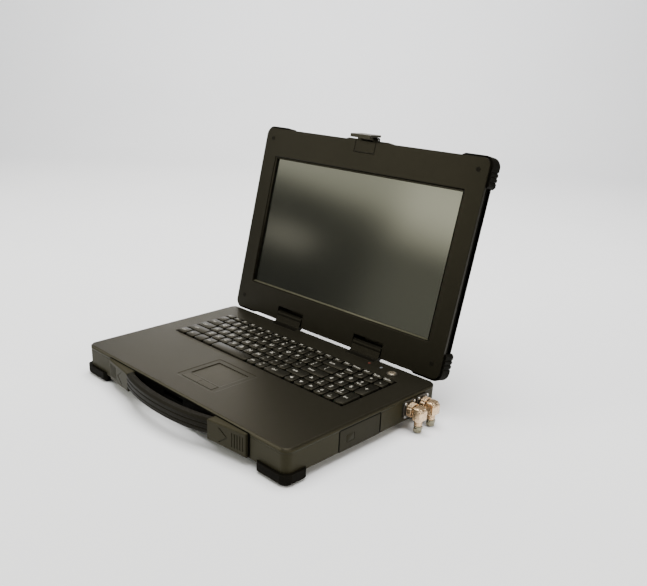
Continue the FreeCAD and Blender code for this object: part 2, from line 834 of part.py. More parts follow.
# Rubber feet wrap the four lower corners of the base
envelope = body("base_envelope")
drawing = sketch(envelope, "XY_Plane", foot_seat)
rounded(drawing, -half_width, -half_depth, half_width, half_depth, corner_radius)
pad(envelope, drawing, deck_height)
for label, side, end in (
        ("foot_front_left", -1, -1), ("foot_front_right", 1, -1), ("foot_rear_left", -1, 1), ("foot_rear_right", 1, 1)):
    block = body(label + "_block")
    drawing = sketch(block, "XY_Plane", -foot_height)
    out_x = (half_width + foot_reach) * side
    out_y = (half_depth + foot_reach) * end
    polygon(drawing, [
        ((half_width - foot_leg_x) * side, (half_depth - foot_inner) * end),
        ((half_width - foot_leg_x) * side, half_depth * end),
        ((half_width - foot_leg_x + foot_reach) * side, out_y),
        (out_x - foot_cut * side, out_y), (out_x - foot_cut * 0.3 * side, out_y - foot_cut * 0.3 * end),
        (out_x, out_y - foot_cut * end),
        (out_x, (half_depth - foot_leg_y + foot_reach) * end),
        (half_width * side, (half_depth - foot_leg_y) * end),
        ((half_width - foot_inner) * side, (half_depth - foot_leg_y) * end),
        ((half_width - foot_inner) * side, (half_depth - foot_inner) * end),
    ])
    pad(block, drawing, foot_height + foot_lip)
    chamfer(block, foot_chamfer, lambda edge: near(edge.BoundBox.ZMax, -foot_height))
    keep(cut(label, block, envelope), label)

# Hinge posts: cast brackets that rise through the deck's rear edge to a barrel behind it
for label, side in (("hinge_post_left", -1), ("hinge_post_right", 1)):
    post = keep(body(label), label)
    drawing = sketch(post, "YZ_Plane", hinge_x * side)
    polygon(drawing, [
        (tang_front, floor_plate), (tang_rear, floor_plate), (tang_rear, housing_top), (half_depth, housing_top),
        (hinge_y + barrel_radius * 0.66, hinge_z - barrel_radius * 0.75), (hinge_y, hinge_z),
        (hinge_y - barrel_radius, hinge_z), (half_depth - 1.5, deck_height), (tang_front, deck_height),
    ])
    pad(post, drawing, barrel_length, both=True)
    drawing = sketch(post, "YZ_Plane", hinge_x * side)
    circle(drawing, hinge_y, hinge_z, barrel_radius)
    pad(post, drawing, barrel_length, both=True)
    drawing = sketch(post, "YZ_Plane", hinge_x * side)
    circle(drawing, hinge_y, hinge_z, pin_radius + pin_clear)
    pocket(post, drawing, both=True)
    fillet(post, 4, lambda edge: runs_along(edge, "x") and near(middle(edge).z, deck_height)
           and near(middle(edge).y, half_depth - 1.5))

# Latch keeper: a plate with a slot, set flush in the front wall behind the handle
keeper = keep(body("latch_keeper"), "latch_keeper")
drawing = sketch(keeper, "XZ_Plane", half_depth)
rectangle(drawing, 0.1 - keeper_width / 2, housing_top - keeper_height + 0.1, keeper_width / 2 - 0.1, housing_top)
pad(keeper, drawing, wall, back=True)
drawing = sketch(keeper, "XZ_Plane", half_depth)
rectangle(drawing, -latch_width / 2 - 1, housing_top - 7, latch_width / 2 + 1, housing_top - 1)
pocket(keeper, drawing)


# Lid shell: the bezel and back cover share one outline with a notch over each hinge post
def lid_outline(inset, slant=None):
    top = lid_top - inset
    bottom = inset - lid_bottom
    edge = lid_half - inset
    half_notch = notch_width / 2 + inset
    ceiling = notch_top + inset
    lower = []
    for x in (-hinge_x, hinge_x):
        lower += [(x - half_notch, bottom), (x - half_notch, ceiling), (x + half_notch, ceiling),
                  (x + half_notch, bottom)]
    if slant is None:
        return [(-edge, bottom)] + lower + [(edge, bottom), (edge, top), (-edge, top)]
    return [(-edge, bottom + slant), (slant - edge, bottom)] + lower + [
        (edge - slant, bottom), (edge, bottom + slant), (edge, top - slant), (edge - slant, top),
        (slant - edge, top), (-edge, top - slant)]


def lid_corners(edge):
    return runs_along(edge, "y") and abs(middle(edge).x) > number(lid_half) - 0.01


window_top = window_bottom + window_height
latch_floor = lid_top - latch_drop

bezel = keep(lean(body("lid_bezel")), "lid_bezel")
drawing = sketch(bezel, "XZ_Plane", -lid_front)
polygon(drawing, lid_outline(lid_flush))
pad(bezel, drawing, bezel_thick, back=True)
fillet(bezel, lid_corner, lid_corners)
drawing = sketch(bezel, "XZ_Plane", -lid_front)
rectangle(drawing, -window_width / 2, window_bottom, window_width / 2, window_top)
rectangle(drawing, -latch_width / 2 - latch_gap, latch_floor - latch_gap, latch_width / 2 + latch_gap, lid_top + 1)
pocket(bezel, drawing)
drawing = sketch(bezel, "XZ_Plane", -bezel_back)
for side in (-1, 1):
    for end in (-1, 1):
        near_x = hinge_x * side + (notch_width / 2 - 1) * end
        far_x = hinge_x * side + (notch_width / 2 + lid_wall + lug_width + 1) * end
        first, second = (near_x, far_x) if end > 0 else (far_x, near_x)
        rectangle(drawing, first, -lug_radius - 0.4, second, lug_radius + 0.4)
pocket(bezel, drawing, lug_radius + bezel_back + 0.2, back=True)
chamfer(bezel, window_chamfer, lambda edge: near(edge.BoundBox.YMax, lid_front)
        and (near(abs(middle(edge).x), window_width / 2) and runs_along(edge, "z") or runs_along(edge, "x")
             and (near(middle(edge).z, window_bottom) or near(middle(edge).z, window_top))))

cover = keep(lean(body("lid_back_cover")), "lid_back_cover")
drawing = sketch(cover, "XZ_Plane", -bezel_back)
rectangle(drawing, -lid_half, -lid_bottom, lid_half, lid_top)
pad(cover, drawing, lid_thick - bezel_thick, back=True)
fillet(cover, lid_corner, lid_corners)
chamfer(cover, lid_back_chamfer, lambda edge: near(edge.BoundBox.YMin, lid_back)
       and (near(abs(middle(edge).x), lid_half, 6) or near(middle(edge).z, lid_top)))
drawing = sketch(cover, "XZ_Plane", -bezel_back)
polygon(drawing, [
    (-boss_half, lid_top - 1), (boss_half, lid_top - 1), (boss_half, lid_top),
    (boss_half - 5, lid_top + boss_rise), (5 - boss_half, lid_top + boss_rise), (-boss_half, lid_top),
])
pad(cover, drawing, lid_thick - bezel_thick - lid_back_chamfer, back=True)
drawing = sketch(cover, "XZ_Plane", -bezel_back)
polygon(drawing, lid_outline(lid_wall, lid_corner - lid_wall))
for side in (-1, 1):
    rectangle(drawing, hinge_x * side - notch_width / 2, -lid_bottom - 1, hinge_x * side + notch_width / 2, notch_top)
pocket(cover, drawing, cover_inside - bezel_back)
drawing = sketch(cover, "XZ_Plane", -bezel_back)
rectangle(drawing, -latch_width / 2 - latch_gap, lid_top - lid_wall - 1, latch_width / 2 + latch_gap,
          lid_top + boss_rise + 1)
pocket(cover, drawing, cover_inside - bezel_back)
for side in (-1, 1):
    drawing = sketch(cover, "YZ_Plane", hinge_x * side)
    slot_half = pin_radius + fit_gap
    rectangle(drawing, bezel_back - 1, -slot_half, slot_half, slot_half)
    pocket(cover, drawing, notch_width + lid_wall * 2 + 1, both=True)
glass = keep(lean(box("display_glass", 0, 0, 0, 1, 1, 1)), "display_glass")
panel = keep(lean(box("display_panel", 0, 0, 0, 1, 1, 1)), "display_panel")


def stand(piece, x, y, z, length, width, height):
    # A flat lid piece: sized upright, then set out from the hinge axis along the leaning lid
    for prop, size in zip(("Length", "Width", "Height"), (length, width, height)):
        set_size(piece, prop, size)
    angle = math.radians(90 - number(lid_open))
    shift = FreeCAD.Vector(number(x), number(y) * math.cos(angle) - number(z) * math.sin(angle),
                           number(y) * math.sin(angle) + number(z) * math.cos(angle))
    piece.setExpression(".Placement.Base.y", None)
    piece.setExpression(".Placement.Base.z", None)
    piece.Placement.Base = FreeCAD.Vector(0, number(hinge_y), number(hinge_z)) + shift


stand(glass, -window_width / 2 - glass_margin, bezel_back, window_bottom - glass_margin,
      window_width + glass_margin * 2, glass_thick, window_height + glass_margin * 2)
stand(panel, -window_width / 2 - panel_margin, bezel_back + glass_thick, window_bottom - panel_margin,
      window_width + panel_margin * 2, panel_thick, window_height + panel_margin * 2)

# Lid corner guards: rubber caps with ribbed sides that wrap the corners and lap onto the back
shell = body("lid_envelope")
drawing = sketch(shell, "XZ_Plane", -lid_front)
rounded(drawing, -lid_half, -lid_bottom, lid_half, lid_top, lid_corner)
pad(shell, drawing, lid_thick, back=True)
for label, side, end in (
        ("lid_guard_top_left", -1, 1), ("lid_guard_top_right", 1, 1),
        ("lid_guard_bottom_left", -1, -1), ("lid_guard_bottom_right", 1, -1)):
    block = body(label + "_block")
    level = lid_top if end > 0 else lid_bottom
    drawing = sketch(block, "XZ_Plane", -lid_front - guard_start)
    out_x = (lid_half + guard_reach) * side
    out_z = (level + guard_reach) * end
    points = [
        ((lid_half - guard_leg_x) * side, (level - guard_inner) * end),
        ((lid_half - guard_leg_x) * side, level * end),
        ((lid_half - guard_leg_x + guard_reach * 2) * side, out_z),
        (out_x, out_z),
    ]
    for rib in range(3):
        start = level - guard_rib_first - guard_rib_pitch * rib
        deep_x = out_x - guard_rib_depth * side
        points += [
            (out_x, start * end), (deep_x, (start - guard_rib_slope) * end),
            (deep_x, (start - guard_rib_width + guard_rib_slope) * end), (out_x, (start - guard_rib_width) * end),
        ]
    points += [
        (out_x, (level - guard_leg_z + guard_reach) * end),
        (lid_half * side, (level - guard_leg_z) * end),
        ((lid_half - guard_inner) * side, (level - guard_leg_z) * end),
        ((lid_half - guard_inner) * side, (level - guard_inner) * end),
    ]
    polygon(drawing, points)
    pad(block, drawing, lid_thick - guard_start + guard_lip, back=True)
    fillet(block, lid_corner + guard_reach, lambda edge: runs_along(edge, "y")
           and near(middle(edge).x, out_x) and near(middle(edge).z, out_z))
    keep(lean(cut(label, block, shell)), label)

# Hinge pins and the lid-side lugs that hold them
pins = []
for index, side in enumerate((-1, 1)):
    pins.append(cylinder("hinge_pin_%d" % index, pin_radius, pin_length,
                         hinge_x * side - pin_length / 2, hinge_y, hinge_z, (1, 0, 0)))
keep(group("hinge_pins", pins), "hinge_pins")
for label, side in (("hinge_bracket_left", -1), ("hinge_bracket_right", 1)):
    bracket = keep(lean(body(label)), label)
    for end in (-1, 1):
        drawing = sketch(bracket, "YZ_Plane", hinge_x * side + lug_middle * end)
        polygon(drawing, [
            (-lug_radius, -lug_radius), (cover_inside, -lug_radius), (cover_inside, bracket_top),
            (cover_inside - bracket_plate, bracket_top), (cover_inside - bracket_plate, lug_radius + bracket_plate),
            (lug_radius, lug_radius),
            (-lug_radius, lug_radius),
        ])
        pad(bracket, drawing, lug_width, both=True)
    drawing = sketch(bracket, "YZ_Plane", hinge_x * side)
    circle(drawing, 0, 0, pin_radius + pin_clear / 2)
    pocket(bracket, drawing, pin_length + 10, both=True)

# Latch: a block set in the bezel, a pin and the hook that swings on it
pin_z = lid_top + latch_pin_rise
pin_y = lid_front + 5
latch = keep(lean(body("latch_body")), "latch_body")
drawing = sketch(latch, "XZ_Plane", -lid_front)
rectangle(drawing, -latch_width / 2, latch_floor, latch_width / 2, lid_top)
pad(latch, drawing, cover_inside - lid_front, back=True)
for side in (-1, 1):
    cheek = latch_width / 2 - latch_knuckle / 2 - 0.4
    drawing = sketch(latch, "YZ_Plane", (latch_width / 2 - cheek / 2) * side)
    flat = latch_cheek * 0.41
    polygon(drawing, [
        (pin_y - latch_cheek, lid_top - 1), (pin_y + latch_cheek, lid_top - 1), (pin_y + latch_cheek, pin_z + flat),
        (pin_y + flat, pin_z + latch_cheek), (pin_y - flat, pin_z + latch_cheek), (pin_y - latch_cheek, pin_z + flat),
    ])
    pad(latch, drawing, cheek, both=True)
drawing = sketch(latch, "YZ_Plane")
circle(drawing, pin_y, pin_z, latch_pin_radius + pin_clear / 2)
pocket(latch, drawing, latch_width + 1, both=True)
drawing = sketch(latch, "YZ_Plane")
circle(drawing, pin_y, pin_z, latch_cheek + fit_gap)
pocket(latch, drawing, latch_knuckle + 0.8, both=True)

lean_angle = math.radians(90 - number(lid_open))
pin_centre = FreeCAD.Vector(
    0,
    number(hinge_y) + number(pin_y) * math.cos(lean_angle) - number(pin_z) * math.sin(lean_angle),
    number(hinge_z) + number(pin_y) * math.sin(lean_angle) + number(pin_z) * math.cos(lean_angle))
latch_pin = cylinder("latch_pin", latch_pin_radius, latch_width - 1, 0, 0, 0, (1, 0, 0))
latch_pin.setExpression(".Placement.Base.x", None)
latch_pin.Placement.Base = pin_centre - FreeCAD.Vector(number(latch_width) / 2 - 0.5, 0, 0)
keep(latch_pin, "latch_pin")

hook = keep(body("latch_hook"), "latch_hook")
drawing = sketch(hook, "YZ_Plane")
polygon(drawing, [
    (4, latch_offset), (4, latch_offset + latch_plate), (-latch_length, latch_offset + latch_plate),
    (-latch_length, latch_offset - latch_lip), (2.2 - latch_length, latch_offset - latch_lip),
    (2.6 - latch_length, latch_offset),
])
pad(hook, drawing, latch_width, both=True)
drawing = sketch(hook, "YZ_Plane")
rectangle(drawing, -latch_cheek, 0, latch_cheek, latch_offset + 0.5)
pad(hook, drawing, latch_knuckle, both=True)
drawing = sketch(hook, "YZ_Plane")
circle(drawing, 0, 0, latch_cheek)
pad(hook, drawing, latch_knuckle, both=True)
drawing = sketch(hook, "YZ_Plane")
circle(drawing, 0, 0, latch_pin_radius + pin_clear)
pocket(hook, drawing, latch_knuckle + 1, both=True)
hook.Placement = FreeCAD.Placement(
    pin_centre, FreeCAD.Rotation(FreeCAD.Vector(1, 0, 0), 90 - number(lid_open) + number(latch_droop)))

# Drive caddy: a cover plate flush with the side wall, a tray behind it and the drive in the tray
caddy = keep(body("drive_caddy"), "drive_caddy")
drawing = sketch(caddy, "YZ_Plane", half_width)
rectangle(drawing, bay_front + cover_gap, 0.2, bay_rear - cover_gap, housing_top - cover_gap)
pad(caddy, drawing, wall, back=True)
drawing = sketch(caddy, "YZ_Plane", half_width)
finger_left = bay_front + finger_inset
finger_low = (housing_top - finger_height) / 2
rounded(drawing, finger_left, finger_low, finger_left + finger_width, finger_low + finger_height, finger_corner)
pocket(caddy, drawing, finger_sink)
tray_half = drive_width / 2 + caddy_wall
tray_low = floor_plate + fit_gap
drawing = sketch(caddy, "YZ_Plane", half_width - wall)
polygon(drawing, [
    (bay_middle - tray_half, tray_low), (bay_middle + tray_half, tray_low),
    (bay_middle + tray_half, tray_low + caddy_wall + drive_height),
    (bay_middle + drive_width / 2, tray_low + caddy_wall + drive_height),
    (bay_middle + drive_width / 2, tray_low + caddy_wall),
    (bay_middle - drive_width / 2, tray_low + caddy_wall),
    (bay_middle - drive_width / 2, tray_low + caddy_wall + drive_height),
    (bay_middle - tray_half, tray_low + caddy_wall + drive_height),
])
pad(caddy, drawing, caddy_length, back=True)
drive = box("drive_unit", half_width - wall - drive_length, bay_middle - drive_width / 2, tray_low + caddy_wall,
            drive_length, drive_width, drive_height)
keep(drive, "drive_unit")

# Side connectors: flanged receptacles, knurled coupling rings and right-angle plugs with cable clamps
for name, y in zip(("front", "rear"), plug_ys):
    socket = keep(body("receptacle_" + name), "receptacle_" + name)
    drawing = sketch(socket, "YZ_Plane", half_width)
    half = flange_size / 2
    short = half - flange_corner
    polygon(drawing, [
        (y - half, plug_z - short), (y - short, plug_z - half), (y + short, plug_z - half), (y + half, plug_z - short),
        (y + half, plug_z + short), (y + short, plug_z + half), (y - short, plug_z + half), (y - half, plug_z + short),
    ])
    pad(socket, drawing, flange_thick)
    drawing = sketch(socket, "YZ_Plane", half_width)
    regular(drawing, y, plug_z, 8, [shell_radius])
    pad(socket, drawing, wall + barrel_behind, back=True)
    drawing = sketch(socket, "YZ_Plane", half_width)
    regular(drawing, y, plug_z, turned_flats, [shell_radius])
    pad(socket, drawing, flange_thick + shell_length)
    drawing = sketch(socket, "YZ_Plane", half_width + flange_thick + shell_length)
    regular(drawing, y, plug_z, turned_flats, [shell_bore])
    pocket(socket, drawing, shell_length + flange_thick)
    coupling = keep(body("coupling_ring_" + name), "coupling_ring_" + name)
    drawing = sketch(coupling, "YZ_Plane", 0)
    regular(drawing, 0, 0, 36, [ring_radius, ring_radius, ring_radius - flute_depth])
    regular(drawing, 0, 0, turned_flats, [shell_radius + ring_gap])
    pad(coupling, drawing, ring_length)
    place(coupling, half_width + ring_start, y, plug_z)

    elbow = keep(body("plug_elbow_" + name), "plug_elbow_" + name)
    drawing = sketch(elbow, "YZ_Plane", flange_thick + ring_stand)
    regular(drawing, 0, 0, turned_flats, [shell_bore - ring_gap])
    pad(elbow, drawing, elbow_reach - ring_start)
    drawing = sketch(elbow, "XZ_Plane")
    block_start = ring_end + fit_gap
    block_end = elbow_reach + elbow_half
    polygon(drawing, [
        (block_start, -elbow_half), (block_start, elbow_half), (block_end - elbow_mitre, elbow_half),
        (block_end, elbow_half - elbow_mitre), (block_end, -elbow_half),
    ])
    pad(elbow, drawing, elbow_half * 2, both=True)
    chamfer(elbow, elbow_bevel, lambda edge: near(abs(middle(edge).y), elbow_half)
            and not near(middle(edge).x, block_start))
    drawing = sketch(elbow, "XY_Plane")
    regular(drawing, elbow_reach, 0, 8, [stem_radius])
    pad(elbow, drawing, plug_z - stem_bottom, back=True)
    place(elbow, half_width, y, plug_z)

    clamp = keep(body("cable_clamp_" + name), "cable_clamp_" + name)
    drawing = sketch(clamp, "XY_Plane")
    regular(drawing, 0, 0, 8, [clamp_radius])
    pad(clamp, drawing, clamp_height, back=True)
    drawing = sketch(clamp, "XY_Plane")
    circle(drawing, 0, 0, cable_radius)
    pocket(clamp, drawing)
    place(clamp, half_width + elbow_reach, y, stem_bottom)

# Inside the base: battery, main board on its bosses and a finned heat spreader
battery_left = wall - half_width + 6
battery_front = wall - half_depth + 6
keep(box("battery_pack", battery_left, battery_front, floor_plate, battery_length, battery_depth, battery_height),
     "battery_pack")
board_low = floor_plate + board_rise
keep(box("main_board", board_left, board_front, board_low, board_length, board_depth, board_thick), "main_board")
spreader = keep(body("heat_spreader"), "heat_spreader")
spreader_low = board_low + board_thick
spreader_x = board_left + board_length * 0.2
spreader_y = board_front + board_depth / 2 - spreader_depth / 2
drawing = sketch(spreader, "XY_Plane", spreader_low)
rectangle(drawing, spreader_x, spreader_y, spreader_x + spreader_length, spreader_y + spreader_depth)
pad(spreader, drawing, spreader_height)
drawing = sketch(spreader, "XY_Plane", spreader_low + spreader_height)
rectangle(drawing, spreader_x + 4, spreader_y - 1, spreader_x + 4 + fin_pitch / 2, spreader_y + spreader_depth + 1)
slot = pocket(spreader, drawing, spreader_height - 4)
fins = int((number(spreader_length) - 8) // number(fin_pitch))
repeat(spreader, [slot], drawing, fins, fin_pitch * (fins - 1))

doc.recompute()

failed = [item.Name for item in doc.Objects if "Invalid" in item.State or "Error" in item.State]
for piece in parts:
    if piece.Shape.isNull() or not piece.Shape.isValid() or not piece.Shape.Solids:
        failed.append(piece.Label)
if failed:
    raise RuntimeError("these pieces failed: " + ", ".join(failed))

os.makedirs("parts", exist_ok=True)
for piece in parts:
    piece.Shape.exportStep("parts/%s.step" % piece.Label)
    bounds = piece.Shape.BoundBox
    print("%-24s %2d solids %9.0f mm3  x %.1f..%.1f  y %.1f..%.1f  z %.1f..%.1f" % (
        piece.Label, len(piece.Shape.Solids), piece.Shape.Volume,
        bounds.XMin, bounds.XMax, bounds.YMin, bounds.YMax, bounds.ZMin, bounds.ZMax))
print(len(parts), "pieces")
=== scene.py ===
import math

import bmesh
import bpy
from mathutils import Matrix, Vector


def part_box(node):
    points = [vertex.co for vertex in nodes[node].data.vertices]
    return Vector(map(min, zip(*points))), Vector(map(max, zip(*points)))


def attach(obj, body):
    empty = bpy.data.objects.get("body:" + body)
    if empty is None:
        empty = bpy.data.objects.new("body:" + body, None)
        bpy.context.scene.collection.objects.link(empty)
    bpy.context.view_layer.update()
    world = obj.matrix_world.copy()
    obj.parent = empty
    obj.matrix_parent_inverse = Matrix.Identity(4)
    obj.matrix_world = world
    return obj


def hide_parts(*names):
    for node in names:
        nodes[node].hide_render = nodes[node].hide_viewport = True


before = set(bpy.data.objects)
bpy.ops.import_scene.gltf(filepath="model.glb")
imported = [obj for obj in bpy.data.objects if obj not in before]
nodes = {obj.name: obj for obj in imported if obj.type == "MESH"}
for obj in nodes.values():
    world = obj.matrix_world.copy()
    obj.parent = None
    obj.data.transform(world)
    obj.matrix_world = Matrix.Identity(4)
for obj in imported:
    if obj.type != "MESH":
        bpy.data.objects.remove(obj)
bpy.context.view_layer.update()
print("frame loaded:", len(nodes), "CAD nodes")


class Wire:
    # wraps one socket, so that shader maths reads as plain sums
    def __init__(self, tree, socket):
        self.tree = tree
        self.socket = socket

    def node(self, kind, settings=None, sockets=None, out=0):
        made = self.tree.nodes.new(kind)
        for key, value in (settings or {}).items():
            if key == "stops":
                while len(made.color_ramp.elements) < len(value):
                    made.color_ramp.elements.new(0.5)
                for stop, (place, colour) in zip(made.color_ramp.elements, value):
                    stop.position = place
                    stop.color = colour
            else:
                setattr(made, key, value)
        for key, value in (sockets or {}).items():
            if isinstance(value, Wire):
                self.tree.links.new(value.socket, made.inputs[key])
            else:
                made.inputs[key].default_value = value
        return Wire(self.tree, made.outputs[out])

    def sum(self, operation, first, second):
        return self.node("ShaderNodeMath", {"operation": operation}, {0: first, 1: second})

    def __add__(self, other):
        return self.sum("ADD", self, other)

    def __radd__(self, other):
        return self.sum("ADD", other, self)

    def __sub__(self, other):
        return self.sum("SUBTRACT", self, other)

    def __rsub__(self, other):
        return self.sum("SUBTRACT", other, self)

    def __mul__(self, other):
        return self.sum("MULTIPLY", self, other)

    def __gt__(self, other):
        return self.sum("GREATER_THAN", self, other)

    def clamped(self):
        return self.node("ShaderNodeClamp", None, {"Value": self})

    def blend(self, first, second):
        # this value picks between two colours
        return self.node("ShaderNodeMix", {"data_type": "RGBA"}, {"Factor": self, 6: first, 7: second}, out=2)


def startFinish(name, fixed):
    material = bpy.data.materials.new(name)
    material.use_nodes = True
    tree = material.node_tree
    shader = tree.nodes["Principled BSDF"]
    for key, value in fixed.items():
        shader.inputs[key].default_value = value
    coords = tree.nodes.new("ShaderNodeTexCoord")
    return material, shader, Wire(tree, coords.outputs["Object"])


def plug(shader, **links):
    for key, wire in links.items():
        wire.tree.links.new(wire.socket, shader.inputs[key.replace("_", " ")])


def noise(place, scale, detail=2.0, roughness=0.5):
    return place.node("ShaderNodeTexNoise", None,
                      {"Vector": place, "Scale": scale, "Detail": detail, "Roughness": roughness})


edgeGain = 5


def softEdges(place, radius):
    # rounded-edge normal, and a mask that is 1 on edges and 0 on flats
    bent = place.node("ShaderNodeBevel", {"samples": 6}, {"Radius": radius})
    flat = place.node("ShaderNodeNewGeometry", None, None, out=1)
    match = place.node("ShaderNodeVectorMath", {"operation": "DOT_PRODUCT"}, {0: bent, 1: flat}, out=1)
    return bent, ((1 - match) * edgeGain).clamped()


def bumped(place, look, height, bent):
    return place.node("ShaderNodeBump", None, {"Strength": look["bump"], "Distance": look["bumpDepth"],
                                               "Height": height, "Normal": bent})


# what the finishes of one kind have in common, unless a look says otherwise
warmSheen = (1.0, 0.91, 0.64, 1.0)
coatDetail = {
    "grain": 1500, "bump": 0.3, "bumpDepth": 0.0002, "patchScale": 14, "patchSpread": 1.5, "patchShift": 0.25,
    "rubScale": 160, "rubSpread": 1.6, "rubShift": 0.35, "speckStart": 0.62, "speckGain": 4, "speckShare": 0.3,
    "grainGloss": 0.1, "patchGloss": 0.06}
mouldDetail = {"patchScale": 30, "patchGloss": 0.14, "grainGloss": 0.1, "bumpDepth": 0.00012}
metalDetail = {
    "lineScale": 60, "lineGloss": 0.25, "stainScale": 220, "stainSpread": 1.4, "stainShift": 0.2, "stainGloss": 0.15,
    "rubbed": 0.5, "bumpDepth": 0.0001}
screenDetail = {"hazeScale": 3800, "driftScale": 5, "gloss": 0.06, "bump": 0.02, "bumpDepth": 0.00003}


def powderCoat(name, look):
    # fine orange-peel grain, faint patches, and a lighter colour along the edges that is partly paint rubbed thin and
    # partly a painted highlight on the edges
    look = {**coatDetail, **look}
    material, shader, place = startFinish(name, {"Specular IOR Level": look["shine"], "Specular Tint": warmSheen})
    grain = noise(place, look["grain"], 3)
    patches = noise(place, look["patchScale"], 4, 0.6)
    bent, edges = softEdges(place, look["edge"])
    base = (patches * look["patchSpread"] - look["patchShift"]).clamped().blend(look["dark"], look["light"])
    specks = ((grain - look["speckStart"]) * look["speckGain"]).clamped() * look["speckShare"]
    base = specks.blend(base, look["speck"])
    rubbed = (noise(place, look["rubScale"], 3) * look["rubSpread"] - look["rubShift"]).clamped()
    # lighter along the edges: worn paint and a painted highlight
    base = (edges * rubbed * look["edgeToneShare"]).blend(base, look["edgeTone"])
    rough = look["rough"] + grain * look["grainGloss"] - patches * look["patchGloss"]
    plug(shader, Base_Color=base, Roughness=rough.clamped(), Normal=bumped(place, look, grain, bent))
    return material


def moulded(name, look):
    # rubber and plastic: fine spark texture, soft edges, and a lighter colour along the edges that is partly dust and
    # partly a painted highlight
    look = {**mouldDetail, **look}
    material, shader, place = startFinish(name, {"Specular IOR Level": look["shine"], "Specular Tint": warmSheen})
    grain = noise(place, look["grain"], 2)
    patches = noise(place, look["patchScale"], 3)
    bent, edges = softEdges(place, look["edge"])
    base = patches.blend(look["dark"], look["light"])
    # lighter along the edges: dust and a painted highlight
    base = (edges * look["edgeToneShare"]).blend(base, look["edgeTone"])
    rough = look["rough"] + (patches - 0.5) * look["patchGloss"] + (grain - 0.5) * look["grainGloss"]
    plug(shader, Base_Color=base, Roughness=rough.clamped(), Normal=bumped(place, look, grain, bent))
    return material


def bareMetal(name, look):
    # machined or plated metal with fine turning or brushing lines
    look = {**metalDetail, **look}
    material, shader, place = startFinish(name, {"Metallic": look["metal"]})
    squeezed = place.node("ShaderNodeMapping", None, {"Vector": place, "Scale": look["lines"]})
    lines = noise(squeezed, look["lineScale"], 3, 0.6)
    stains = noise(place, look["stainScale"], 3)
    bent, edges = softEdges(place, look["edge"])
    base = (stains * look["stainSpread"] - look["stainShift"]).clamped().blend(look["dark"], look["light"])
    base = (edges * look["rubbed"]).blend(base, look["edgeTone"])
    rough = look["rough"] + (lines - 0.5) * look["lineGloss"] + (stains - 0.5) * look["stainGloss"]
    plug(shader, Base_Color=base, Roughness=rough.clamped(), Normal=bumped(place, look, lines, bent))
    return material


def screenFinish(name, look):
    # anti-glare glass over a dark panel: a faint haze of very fine texture
    look = {**screenDetail, **look}
    material, shader, place = startFinish(name, {"Specular IOR Level": look["shine"], "Specular Tint": look["tint"]})
    haze = noise(place, look["hazeScale"], 2)
    drift = noise(place, look["driftScale"], 2)
    plug(shader, Base_Color=drift.blend(look["dark"], look["light"]),
         Roughness=(look["rough"] + (haze + drift - 1) * look["gloss"]).clamped(),
         Normal=place.node("ShaderNodeBump", None, {"Strength": look["bump"], "Distance": look["bumpDepth"],
                                                    "Height": haze}))
    return material


def boardFinish(name, look):
    # solder-mask green with lighter copper runs and pads
    material, shader, place = startFinish(name, {"Specular IOR Level": look["shine"]})
    runs = place.node("ShaderNodeTexBrick", look["layout"],
                      {"Vector": place, "Scale": look["runScale"], "Mortar Size": look["runWidth"],
                       "Color1": look["dark"], "Color2": look["light"], "Mortar": look["run"]})
    grime = noise(place, look["grimeScale"], 3)
    plug(shader, Base_Color=(grime * look["grimeShare"]).blend(runs, look["grime"]),
         Roughness=(look["rough"] + grime * look["grimeGloss"]).clamped())
    return material


def lensFinish(name, look):
    # two lenses in one piece: the split along X gives each its own tint
    material, shader, place = startFinish(name, {"Specular IOR Level": look["shine"], "Coat Weight": look["coat"]})
    side = place.node("ShaderNodeSeparateXYZ", None, {"Vector": place})
    clouds = noise(place, look["cloudScale"], 2)
    tint = (side > look["split"]).blend(look["left"], look["right"])
    plug(shader, Base_Color=(clouds * look["cloudShare"]).blend(tint, look["cloud"]),
         Roughness=(look["rough"] + clouds * look["cloudGloss"]).clamped())
    return material


def printFinish(name, look):
    # printed legends, rubbed thinner in spots
    material, shader, place = startFinish(name, {"Specular IOR Level": look["shine"]})
    rubbed = noise(place, look["rubScale"], 3)
    plug(shader, Base_Color=(rubbed * look["rubShare"]).blend(look["light"], look["dark"]),
         Roughness=(look["rough"] + rubbed * look["rubGloss"]).clamped())
    return material


def floorFinish(name, look):
    material, shader, place = startFinish(name, {"Specular IOR Level": look["shine"]})
    plug(shader, Base_Color=noise(place, look["patchScale"], 2).blend(look["dark"], look["light"]),
         Roughness=(look["rough"] + noise(place, look["grainScale"], 2) * look["grainGloss"]).clamped())
    return material


def rgb(red, green, blue):
    return (red, green, blue, 1.0)


coatDeck = powderCoat("coatDeck", {
    "dark": rgb(0.0030, 0.0028, 0.0017), "light": rgb(0.0050, 0.0046, 0.0028), "speck": rgb(0.014, 0.0128, 0.009),
    "edgeTone": rgb(0.040, 0.037, 0.027), "edgeToneShare": 0.35, "rough": 0.36, "shine": 0.34, "edge": 0.0012})
coatMount = powderCoat("coatMount", {
    "dark": rgb(0.0180, 0.0166, 0.0096), "light": rgb(0.0245, 0.0226, 0.0134), "speck": rgb(0.033, 0.0305, 0.019),
    "edgeTone": rgb(0.040, 0.037, 0.027), "edgeToneShare": 0.35, "rough": 0.48, "shine": 0.1, "edge": 0.0008})
# lighter than the bezel paint: painted highlight on the window's rim
rimLitPaint = powderCoat("rimLitPaint", {
    "dark": rgb(0.0120, 0.0114, 0.0076), "light": rgb(0.0170, 0.0162, 0.0108), "speck": rgb(0.024, 0.0229, 0.0155),
    "edgeTone": rgb(0.04, 0.038, 0.026), "edgeToneShare": 0.3, "rough": 0.42, "shine": 0.15, "bump": 0.2, "edge": 0.0003})
